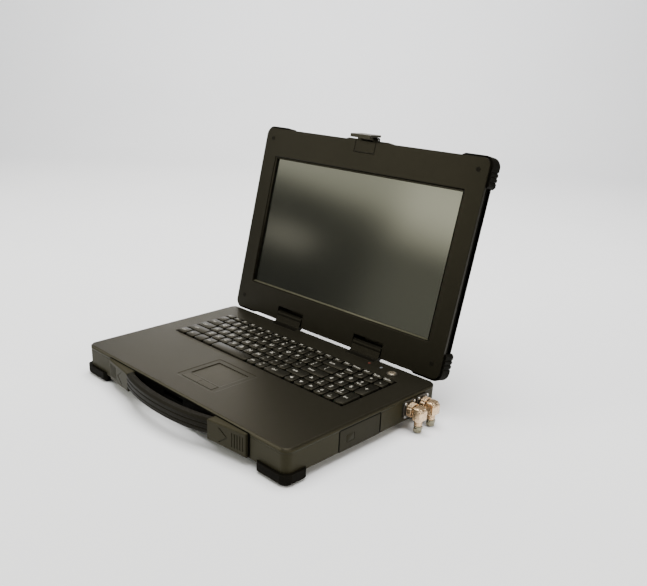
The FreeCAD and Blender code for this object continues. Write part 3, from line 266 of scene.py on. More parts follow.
# far lighter again: painted highlight on the window's lower edge, which faces up into the light
sillHighlightPaint = powderCoat("sillHighlightPaint", {
    "dark": rgb(0.052, 0.0515, 0.034), "light": rgb(0.070, 0.0693, 0.046), "speck": rgb(0.080, 0.079, 0.053),
    "edgeTone": rgb(0.10, 0.099, 0.067), "edgeToneShare": 0.3, "rough": 0.40, "shine": 0.25, "bump": 0.2, "edge": 0.0003})
coatBezel = powderCoat("coatBezel", {
    "dark": rgb(0.0024, 0.0023, 0.0013), "light": rgb(0.0040, 0.0037, 0.0022), "speck": rgb(0.011, 0.0102, 0.007),
    "edgeTone": rgb(0.040, 0.038, 0.028), "edgeToneShare": 0.5, "rough": 0.40, "shine": 0.135, "edge": 0.0012})
shellLook = {
    "dark": rgb(0.0180, 0.0166, 0.0092), "light": rgb(0.0252, 0.0232, 0.0132), "speck": rgb(0.034, 0.0314, 0.019),
    "edgeTone": rgb(0.055, 0.050, 0.036), "edgeToneShare": 0.4, "rough": 0.44, "shine": 0.09, "edge": 0.0012}
coatShell = powderCoat("coatShell", shellLook)
coatBand = powderCoat("coatBand", {**shellLook, "edgeToneShare": 0.1, "edge": 0.0001})
coatCaddy = powderCoat("coatCaddy", {
    "dark": rgb(0.0125, 0.0115, 0.0064), "light": rgb(0.0175, 0.0161, 0.0091), "speck": rgb(0.024, 0.0222, 0.0135),
    "edgeTone": rgb(0.028, 0.026, 0.017), "edgeToneShare": 0.3, "rough": 0.44, "shine": 0.08, "edge": 0.0006})
# darker copy of the shell coat: painted shade for the lid's side faces, which stand in shadow
coatLidShaded = powderCoat("coatLidShaded", {
    "dark": rgb(0.0070, 0.0065, 0.0045), "light": rgb(0.0100, 0.0093, 0.0064), "speck": rgb(0.016, 0.0149, 0.0105),
    "edgeTone": rgb(0.04, 0.037, 0.029), "edgeToneShare": 0.5, "rough": 0.44, "shine": 0.14, "edge": 0.0010})
rubberGuard = moulded("rubberGuard", {
    "dark": rgb(0.0018, 0.0017, 0.0013), "light": rgb(0.0030, 0.0028, 0.0022), "edgeTone": rgb(0.011, 0.0105, 0.0082),
    "edgeToneShare": 0.5, "rough": 0.72, "shine": 0.06, "grain": 2600, "bump": 0.3, "edge": 0.0010})
handleSkin = moulded("handleSkin", {
    "dark": rgb(0.0022, 0.0021, 0.0017), "light": rgb(0.0040, 0.0038, 0.0030), "edgeTone": rgb(0.020, 0.019, 0.015),
    "edgeToneShare": 0.5, "rough": 0.55, "shine": 0.09, "grain": 2200, "bump": 0.3, "edge": 0.0010})
keySkin = moulded("keySkin", {
    "dark": rgb(0.0020, 0.0020, 0.0016), "light": rgb(0.0034, 0.0033, 0.0027), "edgeTone": rgb(0.014, 0.014, 0.012),
    "edgeToneShare": 0.25, "rough": 0.38, "shine": 0.32, "grain": 5200, "bump": 0.14, "edge": 0.0003})
padSkin = moulded("padSkin", {
    "dark": rgb(0.0038, 0.0035, 0.0022), "light": rgb(0.0060, 0.0055, 0.0035), "edgeTone": rgb(0.035, 0.032, 0.024),
    "edgeToneShare": 0.4, "rough": 0.36, "shine": 0.38, "grain": 4200, "bump": 0.12, "edge": 0.0003})
# matte black rubber for seals, also laid as painted shade behind the grip, over the latch keeper and along the lid's
# sides
blackRubberAndShade = moulded("blackRubberAndShade", {
    "dark": rgb(0.0010, 0.0010, 0.0009), "light": rgb(0.0018, 0.0018, 0.0016), "edgeTone": rgb(0.004, 0.004, 0.0035),
    "edgeToneShare": 0.3, "rough": 0.85, "shine": 0.04, "grain": 1800, "bump": 0.4, "edge": 0.0004})
darkPlate = moulded("darkPlate", {
    "dark": rgb(0.0022, 0.0022, 0.0020), "light": rgb(0.0040, 0.0039, 0.0035), "edgeTone": rgb(0.010, 0.010, 0.009),
    "edgeToneShare": 0.2, "rough": 0.7, "shine": 0.12, "grain": 3000, "bump": 0.2, "edge": 0.0002})
# edges far lighter than the body: partly worn paint, partly a painted highlight on the hinge's rounded top lip
hingeCoat = moulded("hingeCoat", {
    "dark": rgb(0.0020, 0.0019, 0.0013), "light": rgb(0.0034, 0.0032, 0.0022), "edgeTone": rgb(0.05, 0.046, 0.036),
    "edgeToneShare": 0.5, "rough": 0.40, "shine": 0.07, "grain": 1800, "bump": 0.3, "edge": 0.0008})
latchCoat = moulded("latchCoat", {
    "dark": rgb(0.0040, 0.0037, 0.0024), "light": rgb(0.0066, 0.0060, 0.0040), "edgeTone": rgb(0.07, 0.063, 0.048),
    "edgeToneShare": 0.6, "rough": 0.38, "shine": 0.36, "grain": 1900, "bump": 0.25, "edge": 0.0007})
plugNickel = bareMetal("plugNickel", {
    "dark": rgb(0.46, 0.30, 0.17), "light": rgb(0.98, 0.74, 0.47), "edgeTone": rgb(0.98, 0.82, 0.60), "metal": 0.88,
    "rough": 0.27, "lines": (1, 8, 8), "bump": 0.08, "edge": 0.0005})
clampSteel = bareMetal("clampSteel", {
    "dark": rgb(0.12, 0.11, 0.08), "light": rgb(0.34, 0.32, 0.22), "edgeTone": rgb(0.7, 0.64, 0.48), "metal": 0.95,
    "rough": 0.26, "lines": (8, 8, 1), "bump": 0.1, "edge": 0.0004})
socketMetal = bareMetal("socketMetal", {
    "dark": rgb(0.035, 0.032, 0.026), "light": rgb(0.075, 0.068, 0.056), "edgeTone": rgb(0.3, 0.27, 0.22), "metal": 0.6,
    "rough": 0.42, "lines": (8, 8, 1), "bump": 0.15, "edge": 0.0004})
pinSteel = bareMetal("pinSteel", {
    "dark": rgb(0.32, 0.32, 0.31), "light": rgb(0.5, 0.5, 0.48), "edgeTone": rgb(0.7, 0.7, 0.68), "metal": 0.95,
    "rough": 0.32, "lines": (1, 20, 20), "bump": 0.1, "edge": 0.0003})
screwBlack = moulded("screwBlack", {
    "dark": rgb(0.0018, 0.0017, 0.0014), "light": rgb(0.0030, 0.0029, 0.0023), "edgeTone": rgb(0.014, 0.0135, 0.011),
    "edgeToneShare": 0.4, "rough": 0.55, "shine": 0.1, "grain": 3000, "bump": 0.2, "edge": 0.0002})
buttonMetal = bareMetal("buttonMetal", {
    "dark": rgb(0.30, 0.25, 0.18), "light": rgb(0.48, 0.41, 0.31), "edgeTone": rgb(0.80, 0.72, 0.60), "metal": 0.85,
    "rough": 0.32, "lines": (16, 1, 16), "bump": 0.1, "edge": 0.0005})
driveMetal = bareMetal("driveMetal", {
    "dark": rgb(0.42, 0.42, 0.41), "light": rgb(0.58, 0.58, 0.56), "edgeTone": rgb(0.75, 0.75, 0.73), "metal": 0.9,
    "rough": 0.36, "lines": (1, 14, 14), "bump": 0.1, "edge": 0.0004})
screenGlass = screenFinish("screenGlass", {
    "dark": rgb(0.0056, 0.0062, 0.0046), "light": rgb(0.0074, 0.0081, 0.0062), "rough": 0.16, "shine": 0.5,
    "tint": rgb(0.98, 1.0, 0.84)})
screenPanel = screenFinish("screenPanel", {
    "dark": rgb(0.008, 0.009, 0.008), "light": rgb(0.012, 0.013, 0.012), "rough": 0.4, "shine": 0.4,
    "tint": rgb(1.0, 1.0, 1.0)})
boardMask = boardFinish("boardMask", {
    "layout": {"offset": 0.37, "squash": 0.6, "squash_frequency": 3}, "runScale": 90.0, "runWidth": 0.05,
    "dark": rgb(0.010, 0.060, 0.022), "light": rgb(0.014, 0.085, 0.03), "run": rgb(0.05, 0.16, 0.06), "shine": 0.5,
    "grime": rgb(0.01, 0.04, 0.015), "grimeScale": 60, "grimeShare": 0.4, "grimeGloss": 0.2, "rough": 0.34})
lensTints = lensFinish("lensTints", {
    "split": 0.113, "left": rgb(0.10, 0.022, 0.016), "right": rgb(0.16, 0.17, 0.19), "cloud": rgb(0.02, 0.02, 0.02),
    "cloudScale": 900, "cloudShare": 0.4, "cloudGloss": 0.15, "rough": 0.2, "shine": 0.6, "coat": 0.4})
legendPaint = printFinish("legendPaint", {
    "light": rgb(0.34, 0.33, 0.295), "dark": rgb(0.18, 0.175, 0.155), "rubScale": 1300, "rubShare": 0.35,
    "rubGloss": 0.25, "rough": 0.45, "shine": 0.4})
floorPaint = floorFinish("floorPaint", {
    "dark": rgb(0.84, 0.86, 0.90), "light": rgb(0.88, 0.90, 0.94), "patchScale": 3, "grainScale": 40,
    "grainGloss": 0.1, "rough": 0.6, "shine": 0.2})

dressed = {
    coatDeck: ["top_deck"],
    coatMount: ["handle_mount_left", "handle_mount_right"],
    coatBezel: ["lid_bezel", "latch_body"],
    coatShell: ["base_housing"],
    coatCaddy: ["drive_caddy"],
    coatLidShaded: ["lid_back_cover"],
    rubberGuard: ["foot_front_left", "foot_front_right", "foot_rear_left", "foot_rear_right", "lid_guard_top_left",
                  "lid_guard_top_right", "lid_guard_bottom_left", "lid_guard_bottom_right"],
    # latch keeper in black as painted shade, like the sheet around it
    blackRubberAndShade: ["latch_keeper"],
    handleSkin: ["handle_grip", "battery_pack"],
    keySkin: ["bottom_row_keys", "shift_row_keys", "caps_row_keys", "tab_row_keys", "number_row_keys",
              "function_row_keys", "space_bar", "numpad_enter_key", "numpad_plus_key"],
    padSkin: ["touchpad", "touchpad_button_left", "touchpad_button_right"],
    darkPlate: ["keyboard_plate"],
    hingeCoat: ["hinge_post_left", "hinge_post_right", "hinge_bracket_left", "hinge_bracket_right"],
    latchCoat: ["latch_hook"],
    plugNickel: ["plug_elbow_front", "plug_elbow_rear", "coupling_ring_front", "coupling_ring_rear"],
    clampSteel: ["cable_clamp_front", "cable_clamp_rear"],
    socketMetal: ["receptacle_front", "receptacle_rear", "power_button_ring"],
    pinSteel: ["hinge_pins", "latch_pin"],
    buttonMetal: ["power_button"],
    driveMetal: ["drive_unit", "heat_spreader"],
    screenGlass: ["display_glass"],
    screenPanel: ["display_panel"],
    boardMask: ["main_board"],
    lensTints: ["indicator_lenses"],
}
for material, names in dressed.items():
    for name in names:
        if name in nodes:
            mesh = nodes[name].data
            mesh.materials.clear()
            mesh.materials.append(material)
print("finishes made:", len(dressed))


# how close counts as the same place, in metres, and how much of a normal counts as square to an axis
near = 0.0001
touch = 0.00001
square = 0.95
# faces that meet at less than this many degrees are shaded as one
crease = {"sheet": 35, "block": 40, "cap": 50, "sweep": 60}


def clearSelection():
    if bpy.context.object and bpy.context.object.mode != "OBJECT":
        bpy.ops.object.mode_set(mode="OBJECT")
    bpy.ops.object.select_all(action="DESELECT")


def settle(piece, name, finish):
    # bakes the place into the mesh, names the piece and gives it its finish
    clearSelection()
    piece.select_set(True)
    bpy.context.view_layer.objects.active = piece
    bpy.ops.object.transform_apply(location=True, rotation=True, scale=True)
    piece.name = name
    piece.data.name = name
    piece.data.materials.clear()
    piece.data.materials.append(finish)
    return piece


def addBlock(low, high):
    clearSelection()
    centre = [(a + b) / 2 for a, b in zip(low, high)]
    size = [b - a for a, b in zip(low, high)]
    bpy.ops.mesh.primitive_cube_add(size=1, location=centre, scale=size)
    bpy.ops.object.transform_apply(location=True, rotation=True, scale=True)
    return bpy.context.object


def editFaces(piece, test):
    bpy.ops.object.mode_set(mode="EDIT")
    bpy.ops.mesh.select_mode(type="FACE")
    mesh = bmesh.from_edit_mesh(piece.data)
    for face in mesh.faces:
        face.select_set(test(face))
    bmesh.update_edit_mesh(piece.data)


def editEdges(piece, test):
    bpy.ops.object.mode_set(mode="EDIT")
    bpy.ops.mesh.select_mode(type="EDGE")
    mesh = bmesh.from_edit_mesh(piece.data)
    for edge in mesh.edges:
        edge.select_set(test(edge))
    bmesh.update_edit_mesh(piece.data)


def endEdit(angle):
    bpy.ops.object.mode_set(mode="OBJECT")
    bpy.ops.object.shade_smooth_by_angle(angle=math.radians(angle))


def joinAll(pieces):
    clearSelection()
    for piece in pieces:
        piece.select_set(True)
    bpy.context.view_layer.objects.active = pieces[0]
    if len(pieces) > 1:
        bpy.ops.object.join()
    return bpy.context.object


def copyTo(piece, matrix):
    twin = piece.copy()
    twin.data = piece.data.copy()
    twin.data.transform(matrix)
    bpy.context.scene.collection.objects.link(twin)
    return twin


def discard(piece):
    bpy.data.objects.remove(piece)


keyboard = {
    "left": -0.16704, "front": -0.009, "pitch": 0.0174, "rowPitch": 0.0184, "slimRow": 0.012, "units": 19.2,
    "gap": 0.0022, "bottom": 0.0332, "top": 0.036, "lean": 0.0003, "corner": 0.0029, "edge": 0.0004, "padUnits": 4,
    "arrowUnits": 2, "functionRow": 5, "functionKeys": 19,
}
# printed marks: share of the key's width to the left, rise above its middle, letter size
legend = {
    "word": (0.36, 0, 0.0050), "padDigit": (0.45, 0.0022, 0.00672), "padWord": (0.47, -0.0036, 0.0036),
    "lower": (0.40, -0.0032, 0.006216), "upper": (0.40, 0.0034, 0.0050), "single": (0.45, 0.0004, 0.0084),
}
ink = {"wordLead": 0.0068, "sink": 0.00003, "proud": 0.00007, "weight": 0.012, "steps": 2, "arrow": 0.36}
# wide keys, in key pitches
wide = {"control": 1.15, "space": 4.35, "shift": 2.25, "caps": 1.75, "tab": 1.5}
shifted = dict(zip("`1234567890-=[];',./\\", "~!@#$%^&*()_+{}:\"<>?|"))
arrowTurns = {"<right": -90, "<up": 0, "<left": 90, "<down": 180}
padWords = {"7": "Home", "9": "PgUp", "1": "End", "3": "PgDn", "0": "Ins", ".": "Del"}
mainRight = keyboard["left"] + keyboard["pitch"] * (keyboard["units"] - keyboard["padUnits"])


def runOf(start, widths):
    # key ends along a row, from widths counted in key pitches
    spans = []
    for width in widths:
        end = start + keyboard["pitch"] * width
        spans.append((start, end))
        start = end
    return spans


def mainRun(lead, tail):
    # left-hand keys, one wide key that fills the row, then the keys at its right end
    spans = runOf(keyboard["left"], lead)
    tailStart = mainRight - keyboard["pitch"] * len(tail)
    return spans + [(spans[-1][1], tailStart)] + runOf(tailStart, tail)


padKeys = runOf(mainRight, [1] * keyboard["padUnits"])
bottomLead = runOf(keyboard["left"], [wide["control"]] * 4)
spaceKey = runOf(bottomLead[-1][1], [wide["space"]])[0]
bottomRest = runOf(spaceKey[1], [1, 1])
arrowStart = mainRight - keyboard["pitch"] * keyboard["arrowUnits"]
functionWidth = keyboard["units"] / keyboard["functionKeys"]

keyRows = [
    {"node": "bottom_row_keys", "body": "keys_bottom", "row": 0,
     "spans": bottomLead + bottomRest + [(bottomRest[-1][1], arrowStart)] + runOf(arrowStart, [1, 1]) + padKeys[:3],
     "marks": ["Ctrl", "Fn", "", "Alt", "Alt", "=", "Ctrl", "<left", "<down", "<right", "0", "."]},
    {"node": "shift_row_keys", "body": "keys_shift", "row": 1,
     "spans": mainRun([wide["shift"]] + [1] * 10, [1]) + padKeys[:3],
     "marks": ["Shift"] + list("ZXCVBNM,./") + ["Shift", "<up", "1", "2", "3"]},
    {"node": "caps_row_keys", "body": "keys_caps", "row": 2,
     "spans": mainRun([wide["caps"]] + [1] * 11, []) + padKeys[:3],
     "marks": ["Caps"] + list("ASDFGHJKL;'") + ["Enter", "4", "5", "6"]},
    {"node": "tab_row_keys", "body": "keys_tab", "row": 3,
     "spans": mainRun([wide["tab"]] + [1] * 12, []) + padKeys[:3],
     "marks": ["Tab"] + list("QWERTYUIOP[]") + ["\\", "7", "8", "9"]},
    {"node": "number_row_keys", "body": "keys_number", "row": 4,
     "spans": mainRun([1] * 13, []) + padKeys,
     "marks": list("`1234567890-=") + ["Back", "Num", "/", "*", "-"]},
    {"node": "function_row_keys", "body": "keys_function", "row": 5,
     "spans": runOf(keyboard["left"], [functionWidth] * keyboard["functionKeys"]),
     "marks": ["Esc"] + ["F%d" % (i + 1) for i in range(12)] + ["Ins", "Del", "Home", "End", "PgUp", "PgDn"]},
    {"node": "space_bar", "body": "key_space", "row": 0, "spans": [spaceKey], "marks": [""]},
    {"node": "numpad_enter_key", "body": "key_enter", "row": 0, "rows": 2, "spans": padKeys[3:], "marks": ["Ent"]},
    {"node": "numpad_plus_key", "body": "key_plus", "row": 2, "rows": 2, "spans": padKeys[3:], "marks": ["+"]},
]


def modelKeyCap(width, depth):
    # block with slightly leaning sides, round corners and a softened top edge
    height = keyboard["top"] - keyboard["bottom"]
    lean = keyboard["lean"]
    cap = addBlock((-width / 2, -depth / 2, keyboard["bottom"]), (width / 2, depth / 2, keyboard["top"]))
    editFaces(cap, lambda face: face.normal.z > square)
    bpy.ops.transform.resize(value=((width - 2 * lean) / width, (depth - 2 * lean) / depth, 1),
                             center_override=(0, 0, keyboard["top"]))
    editEdges(cap, lambda edge: abs(edge.verts[0].co.z - edge.verts[1].co.z) > height / 2)
    bpy.ops.mesh.bevel(offset=keyboard["corner"], segments=3, affect="EDGES")
    editEdges(cap, lambda edge: min(vert.co.z for vert in edge.verts) > keyboard["top"] - touch)
    bpy.ops.mesh.bevel(offset=keyboard["edge"], segments=2, affect="EDGES")
    endEdit(crease["cap"])
    return cap


def addMark(text, x, y, size):
    # one printed mark, a hair proud of the cap
    clearSelection()
    height = keyboard["top"] - ink["sink"]
    if text in arrowTurns:
        bpy.ops.mesh.primitive_cylinder_add(vertices=3, radius=size * ink["arrow"], depth=ink["proud"] * 2,
                                            rotation=(0, 0, math.radians(arrowTurns[text])), location=(x, y, height))
    else:
        bpy.ops.object.text_add(location=(x, y, height))
        letters = bpy.context.object.data
        letters.body = text
        letters.size = size
        letters.align_x = "CENTER"
        letters.align_y = "CENTER"
        letters.resolution_u = ink["steps"]
        letters.extrude = ink["proud"]
        letters.offset = size * ink["weight"]
        bpy.ops.object.convert(target="MESH")
    mark = bpy.context.object
    bpy.ops.object.transform_apply(location=True, rotation=True, scale=True)
    return mark


def addLegends(text, left, right, front, rear):
    # the main mark, with a shifted sign above it or a word below where the key has one
    onPad = left > mainRight - near
    if not text:
        signs = {}
    elif len(text) > 1 and text not in arrowTurns:
        signs = {"word": text}
    elif onPad and text in padWords:
        signs = {"padDigit": text, "padWord": padWords[text]}
    elif not onPad and text in shifted:
        signs = {"lower": text, "upper": shifted[text]}
    else:
        signs = {"single": text}
    made = []
    for kind, sign in signs.items():
        share, rise, size = legend[kind]
        lead = (right - left) * share
        if kind == "word":
            lead = max(lead, ink["wordLead"])
        made.append(addMark(sign, left + lead, (front + rear) / 2 + rise, size))
    return made


capModels = {}
for row in keyRows:
    front = keyboard["front"] + keyboard["rowPitch"] * row["row"]
    rear = front + keyboard["rowPitch"] * row.get("rows", 1)
    if row["row"] == keyboard["functionRow"]:
        rear = front + keyboard["slimRow"]
    caps = []
    marks = []
    for (left, right), text in zip(row["spans"], row["marks"]):
        size = (round(right - left - keyboard["gap"], 5), round(rear - front - keyboard["gap"], 5))
        if size not in capModels:
            capModels[size] = modelKeyCap(*size)
        caps.append(copyTo(capModels[size], Matrix.Translation(((left + right) / 2, (front + rear) / 2, 0))))
        marks += addLegends(text, left, right, front, rear)
    piece = settle(joinAll(caps), row["node"] + "_caps", keySkin)
    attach(piece, row["body"])
    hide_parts(row["node"])
    if marks:
        piece = settle(joinAll(marks), row["node"] + "_legends", legendPaint)
        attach(piece, row["body"])
for cap in capModels.values():
    discard(cap)
print("key caps made:", len(capModels), "sizes")

plugRows = {"front": 0.076, "rear": 0.1025}
plugHeight = 0.0165
hinge = {"place": (0, 0.143, 0.044), "lean": -13.5}
lidPlace = Matrix.Translation(hinge["place"]) @ Matrix.Rotation(math.radians(hinge["lean"]), 4, "X")
facing = {"front": Matrix.Rotation(math.radians(90), 4, "X"), "rear": Matrix.Rotation(math.radians(-90), 4, "X"),
          "right": Matrix.Rotation(math.radians(90), 4, "Y"), "down": Matrix.Rotation(math.radians(180), 4, "X")}
screwRows = [
    {"name": "bezel_screws", "body": "lid", "slot": "pin_steel", "finish": screwBlack, "radius": 0.0031,
     "height": 0.0006, "frame": lidPlace, "facing": "front",
     "spots": [(x, -0.006, z) for x in (-0.1865, 0.1865) for z in (0.0094, 0.2595)]},
    {"name": "cover_screws", "body": "lid", "slot": "pin_steel", "finish": screwBlack, "radius": 0.0028,
     "height": 0.0008, "frame": lidPlace, "facing": "rear",
     "spots": [(x, 0.012, z) for x in (-0.165, -0.055, 0.055, 0.165) for z in (0.030, 0.240)]},
    {"name": "flange_screws", "body": "base", "slot": "pin_steel", "finish": pinSteel, "radius": 0.0019,
     "height": 0.0013, "frame": Matrix.Identity(4), "facing": "right",
     "spots": [(0.2045, y + across, plugHeight + above) for y in plugRows.values() for across in (-0.0085, 0.0085)
               for above in (-0.0085, 0.0085)]},
    {"name": "floor_screws", "body": "base", "slot": "pin_steel", "finish": screwBlack, "radius": 0.0032,
     "height": 0.0008, "frame": Matrix.Identity(4), "facing": "down",
     "spots": [(x, y, 0) for x in (-0.150, -0.050, 0.050, 0.150) for y in (-0.112, 0.112)]},
]


# shares of the head's radius or height
screwShape = {"sides": 18, "sink": 0.0001, "rim": 0.4, "socket": 0.36, "depth": 0.7}


def modelScrew(radius, height):
    # low head with a rounded rim and a socket sunk in its top
    clearSelection()
    top = height - screwShape["sink"]
    bpy.ops.mesh.primitive_cylinder_add(vertices=screwShape["sides"], radius=radius, depth=height,
                                        location=(0, 0, top - height / 2))
    bpy.ops.object.transform_apply(location=True, rotation=True, scale=True)
    screw = bpy.context.object
    editEdges(screw, lambda edge: min(vert.co.z for vert in edge.verts) > top - touch)
    bpy.ops.mesh.bevel(offset=height * screwShape["rim"], segments=2, affect="EDGES")
    editFaces(screw, lambda face: face.normal.z > square and face.calc_center_median().z > top - touch)
    bpy.ops.mesh.inset(thickness=radius * screwShape["socket"])
    bpy.ops.mesh.extrude_region_move(TRANSFORM_OT_translate={"value": (0, 0, -height * screwShape["depth"])})
    endEdit(crease["block"])
    return screw


for row in screwRows:
    screw = modelScrew(row["radius"], row["height"])
    heads = [copyTo(screw, row["frame"] @ Matrix.Translation(spot) @ facing[row["facing"]])
             for spot in row["spots"]]
    discard(screw)
    piece = settle(joinAll(heads), row["name"], row["finish"])
    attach(piece, row["body"])
print("screws made:", len(screwRows), "sets")


def addSheet(centre, size, turn):
    # flat rectangle, turned to face outwards and left in edit mode
    clearSelection()
    bpy.ops.mesh.primitive_plane_add(size=1, location=centre, rotation=turn)
    sheet = bpy.context.object
    sheet.scale = (size[0], size[1], 1)
    bpy.ops.object.transform_apply(location=True, rotation=True, scale=True)
    bpy.ops.object.mode_set(mode="EDIT")
    return sheet


def cutAcross(place, normal):
    bpy.ops.mesh.select_all(action="SELECT")
    bpy.ops.mesh.bisect(plane_co=place, plane_no=normal)


def roundCorners(piece, test, radius, steps=4):
    bpy.ops.mesh.select_mode(type="VERT")
    mesh = bmesh.from_edit_mesh(piece.data)
    for vert in mesh.verts:
        vert.select_set(test(vert.co))
    bmesh.update_edit_mesh(piece.data)
    bpy.ops.mesh.bevel(offset=radius, segments=steps, affect="VERTICES")


def thicken(piece, thickness):
    endEdit(crease["sheet"])
    wall = piece.modifiers.new("wall", "SOLIDIFY")
    wall.thickness = thickness
    wall.offset = -1
    bpy.ops.object.modifier_apply(modifier="wall")


# black sheet on the front wall behind the grip, open over the latch keeper: painted shade standing in for the deep
# shadow behind the grip
gripShade = {"reach": 0.1443, "low": 0.0016, "high": 0.0321, "face": -0.1335, "thick": 0.0006, "corner": 0.002,
         "overlap": 0.0004}
keeperLow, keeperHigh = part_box("latch_keeper")
window = {"left": keeperLow[0] + gripShade["overlap"], "right": keeperHigh[0] - gripShade["overlap"],
          "low": keeperLow[2] + gripShade["overlap"], "high": keeperHigh[2] - gripShade["overlap"]}
piece = addSheet((0, gripShade["face"], (gripShade["low"] + gripShade["high"]) / 2),
                 (gripShade["reach"] * 2, gripShade["high"] - gripShade["low"]), (math.radians(90), 0, 0))
for side in ("left", "right"):
    cutAcross((window[side], 0, 0), (1, 0, 0))
for side in ("low", "high"):
    cutAcross((0, 0, window[side]), (0, 0, 1))
editFaces(piece, lambda face: window["left"] < face.calc_center_median().x < window["right"]
          and window["low"] < face.calc_center_median().z < window["high"])
bpy.ops.mesh.delete(type="FACE")
roundCorners(piece, lambda spot: abs(spot.x) > gripShade["reach"] - near
             and not gripShade["low"] + near < spot.z < gripShade["high"] - near, gripShade["corner"])
thicken(piece, gripShade["thick"])
piece = settle(piece, "grip_shade_liner", blackRubberAndShade)
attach(piece, "base")

# painted band round the skirt of the deck, so that deck and housing read as one wall
band = {"halfX": 0.202, "halfY": 0.133, "proud": 0.00014, "corner": 0.010, "steps": 24, "low": 0.0282,
        "high": 0.0321, "thick": 0.0001}
reach = [band[key] + band["proud"] for key in ("halfX", "halfY")]
piece = addSheet((0, 0, band["low"]), (reach[0] * 2, reach[1] * 2), (0, 0, 0))
roundCorners(piece, lambda spot: True, band["corner"] + band["proud"], band["steps"])
editFaces(piece, lambda face: True)
bpy.ops.mesh.delete(type="ONLY_FACE")
bpy.ops.mesh.select_mode(type="EDGE")
bpy.ops.mesh.select_all(action="SELECT")
bpy.ops.mesh.extrude_edges_move(TRANSFORM_OT_translate={"value": (0, 0, band["high"] - band["low"])})
bpy.ops.mesh.select_all(action="SELECT")
bpy.ops.mesh.normals_make_consistent(inside=False)
thicken(piece, band["thick"])
piece = settle(piece, "deck_band", coatBand)
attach(piece, "base")

# thin seal round the drive bay
seal = {"face": 0.2022, "front": -0.0506, "rear": 0.0236, "low": 0.0006, "high": 0.0290, "line": 0.0012,
        "thick": 0.0004, "corner": 0.0028}
piece = addSheet((seal["face"], (seal["front"] + seal["rear"]) / 2, (seal["low"] + seal["high"]) / 2),
                 (seal["high"] - seal["low"], seal["rear"] - seal["front"]), (0, math.radians(90), 0))
roundCorners(piece, lambda spot: spot.z > seal["high"] - near, seal["corner"])
editFaces(piece, lambda face: True)
bpy.ops.mesh.inset(thickness=seal["line"])
bpy.ops.mesh.delete(type="FACE")
editFaces(piece, lambda face: face.calc_center_median().z < seal["low"] + seal["line"])
bpy.ops.mesh.delete(type="FACE")
thicken(piece, seal["thick"])
piece = settle(piece, "bay_seal", blackRubberAndShade)
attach(piece, "base")
print("liner, band and seal made")

# sloping rim between the bezel's window edge and the glass, in the lid's own frame; the rim is painted lighter than
# the bezel and the sill below far lighter, as a painted highlight where the window's edge catches the light
rim = {"half": 0.1725, "low": 0.0365, "high": 0.2315, "front": -0.0058, "back": -0.0020, "width": 0.0016,
       "thick": 0.0003}
rimMiddle = (rim["low"] + rim["high"]) / 2
sillTop = rim["low"] + rim["width"]
rimParts = [
    {"name": "screen_rim", "finish": rimLitPaint, "unwanted": lambda face: face.calc_center_median().z < sillTop},
    {"name": "screen_sill_highlight", "finish": sillHighlightPaint, "unwanted": lambda face: face.calc_center_median().z > sillTop},
]
for part in rimParts:
    pattern = addSheet((0, rim["front"], rimMiddle), (rim["half"] * 2, rim["high"] - rim["low"]),
                       (math.radians(90), 0, 0))
    editFaces(pattern, lambda face: True)
    bpy.ops.mesh.inset(thickness=rim["width"])
    bpy.ops.transform.translate(value=(0, rim["back"] - rim["front"], 0))
    bpy.ops.mesh.delete(type="FACE")
    editFaces(pattern, part["unwanted"])
    bpy.ops.mesh.delete(type="FACE")
    thicken(pattern, rim["thick"])
    piece = settle(copyTo(pattern, lidPlace), part["name"], part["finish"])
    discard(pattern)
    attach(piece, "lid")

# black strips in the joint of bezel and back cover, along both sides of the lid, wide enough to darken the sides: a
# dark joint and painted shade for the lid's sides, which stand in shadow
sideShadeStrip = {"inner": 0.2011, "outer": 0.2018, "front": -0.0012, "back": 0.0098, "low": 0.024, "high": 0.246,
            "groove": 0.0030, "sink": 0.0003, "edge": 0.0002}
strips = []
for side in (-1, 1):
    ends = sorted((side * sideShadeStrip["inner"], side * sideShadeStrip["outer"]))
    strip = addBlock((ends[0], sideShadeStrip["front"], sideShadeStrip["low"]), (ends[1], sideShadeStrip["back"], sideShadeStrip["high"]))
    editFaces(strip, lambda face: face.normal.x * side > square)
    bpy.ops.mesh.inset(thickness=sideShadeStrip["groove"])
    bpy.ops.mesh.extrude_region_move(TRANSFORM_OT_translate={"value": (-side * sideShadeStrip["sink"], 0, 0)})
    editEdges(strip, lambda edge: all(vert.co.x * side > sideShadeStrip["outer"] - touch for vert in edge.verts))
    bpy.ops.mesh.bevel(offset=sideShadeStrip["edge"], segments=2, affect="EDGES")
    endEdit(crease["block"])
    strips.append(copyTo(strip, lidPlace))
    discard(strip)
piece = settle(joinAll(strips), "lid_side_shade_strips", blackRubberAndShade)
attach(piece, "lid")

# pull tab lying in the finger recess of the bay cover
tab = {"low": (0.1998, -0.0371, 0.00965), "high": (0.2018, -0.0239, 0.01885), "corner": 0.0018, "edge": 0.0003}
piece = addBlock(tab["low"], tab["high"])
editEdges(piece, lambda edge: abs(edge.verts[0].co.x - edge.verts[1].co.x) > near)
bpy.ops.mesh.bevel(offset=tab["corner"], segments=4, affect="EDGES")
editFaces(piece, lambda face: face.normal.x > square)
bpy.ops.mesh.inset(thickness=tab["edge"])
bpy.ops.transform.translate(value=(tab["edge"] / 2, 0, 0))
endEdit(crease["block"])
piece = settle(piece, "caddy_tab", coatCaddy)
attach(piece, "drive")
print("rim, side seals and tab made")

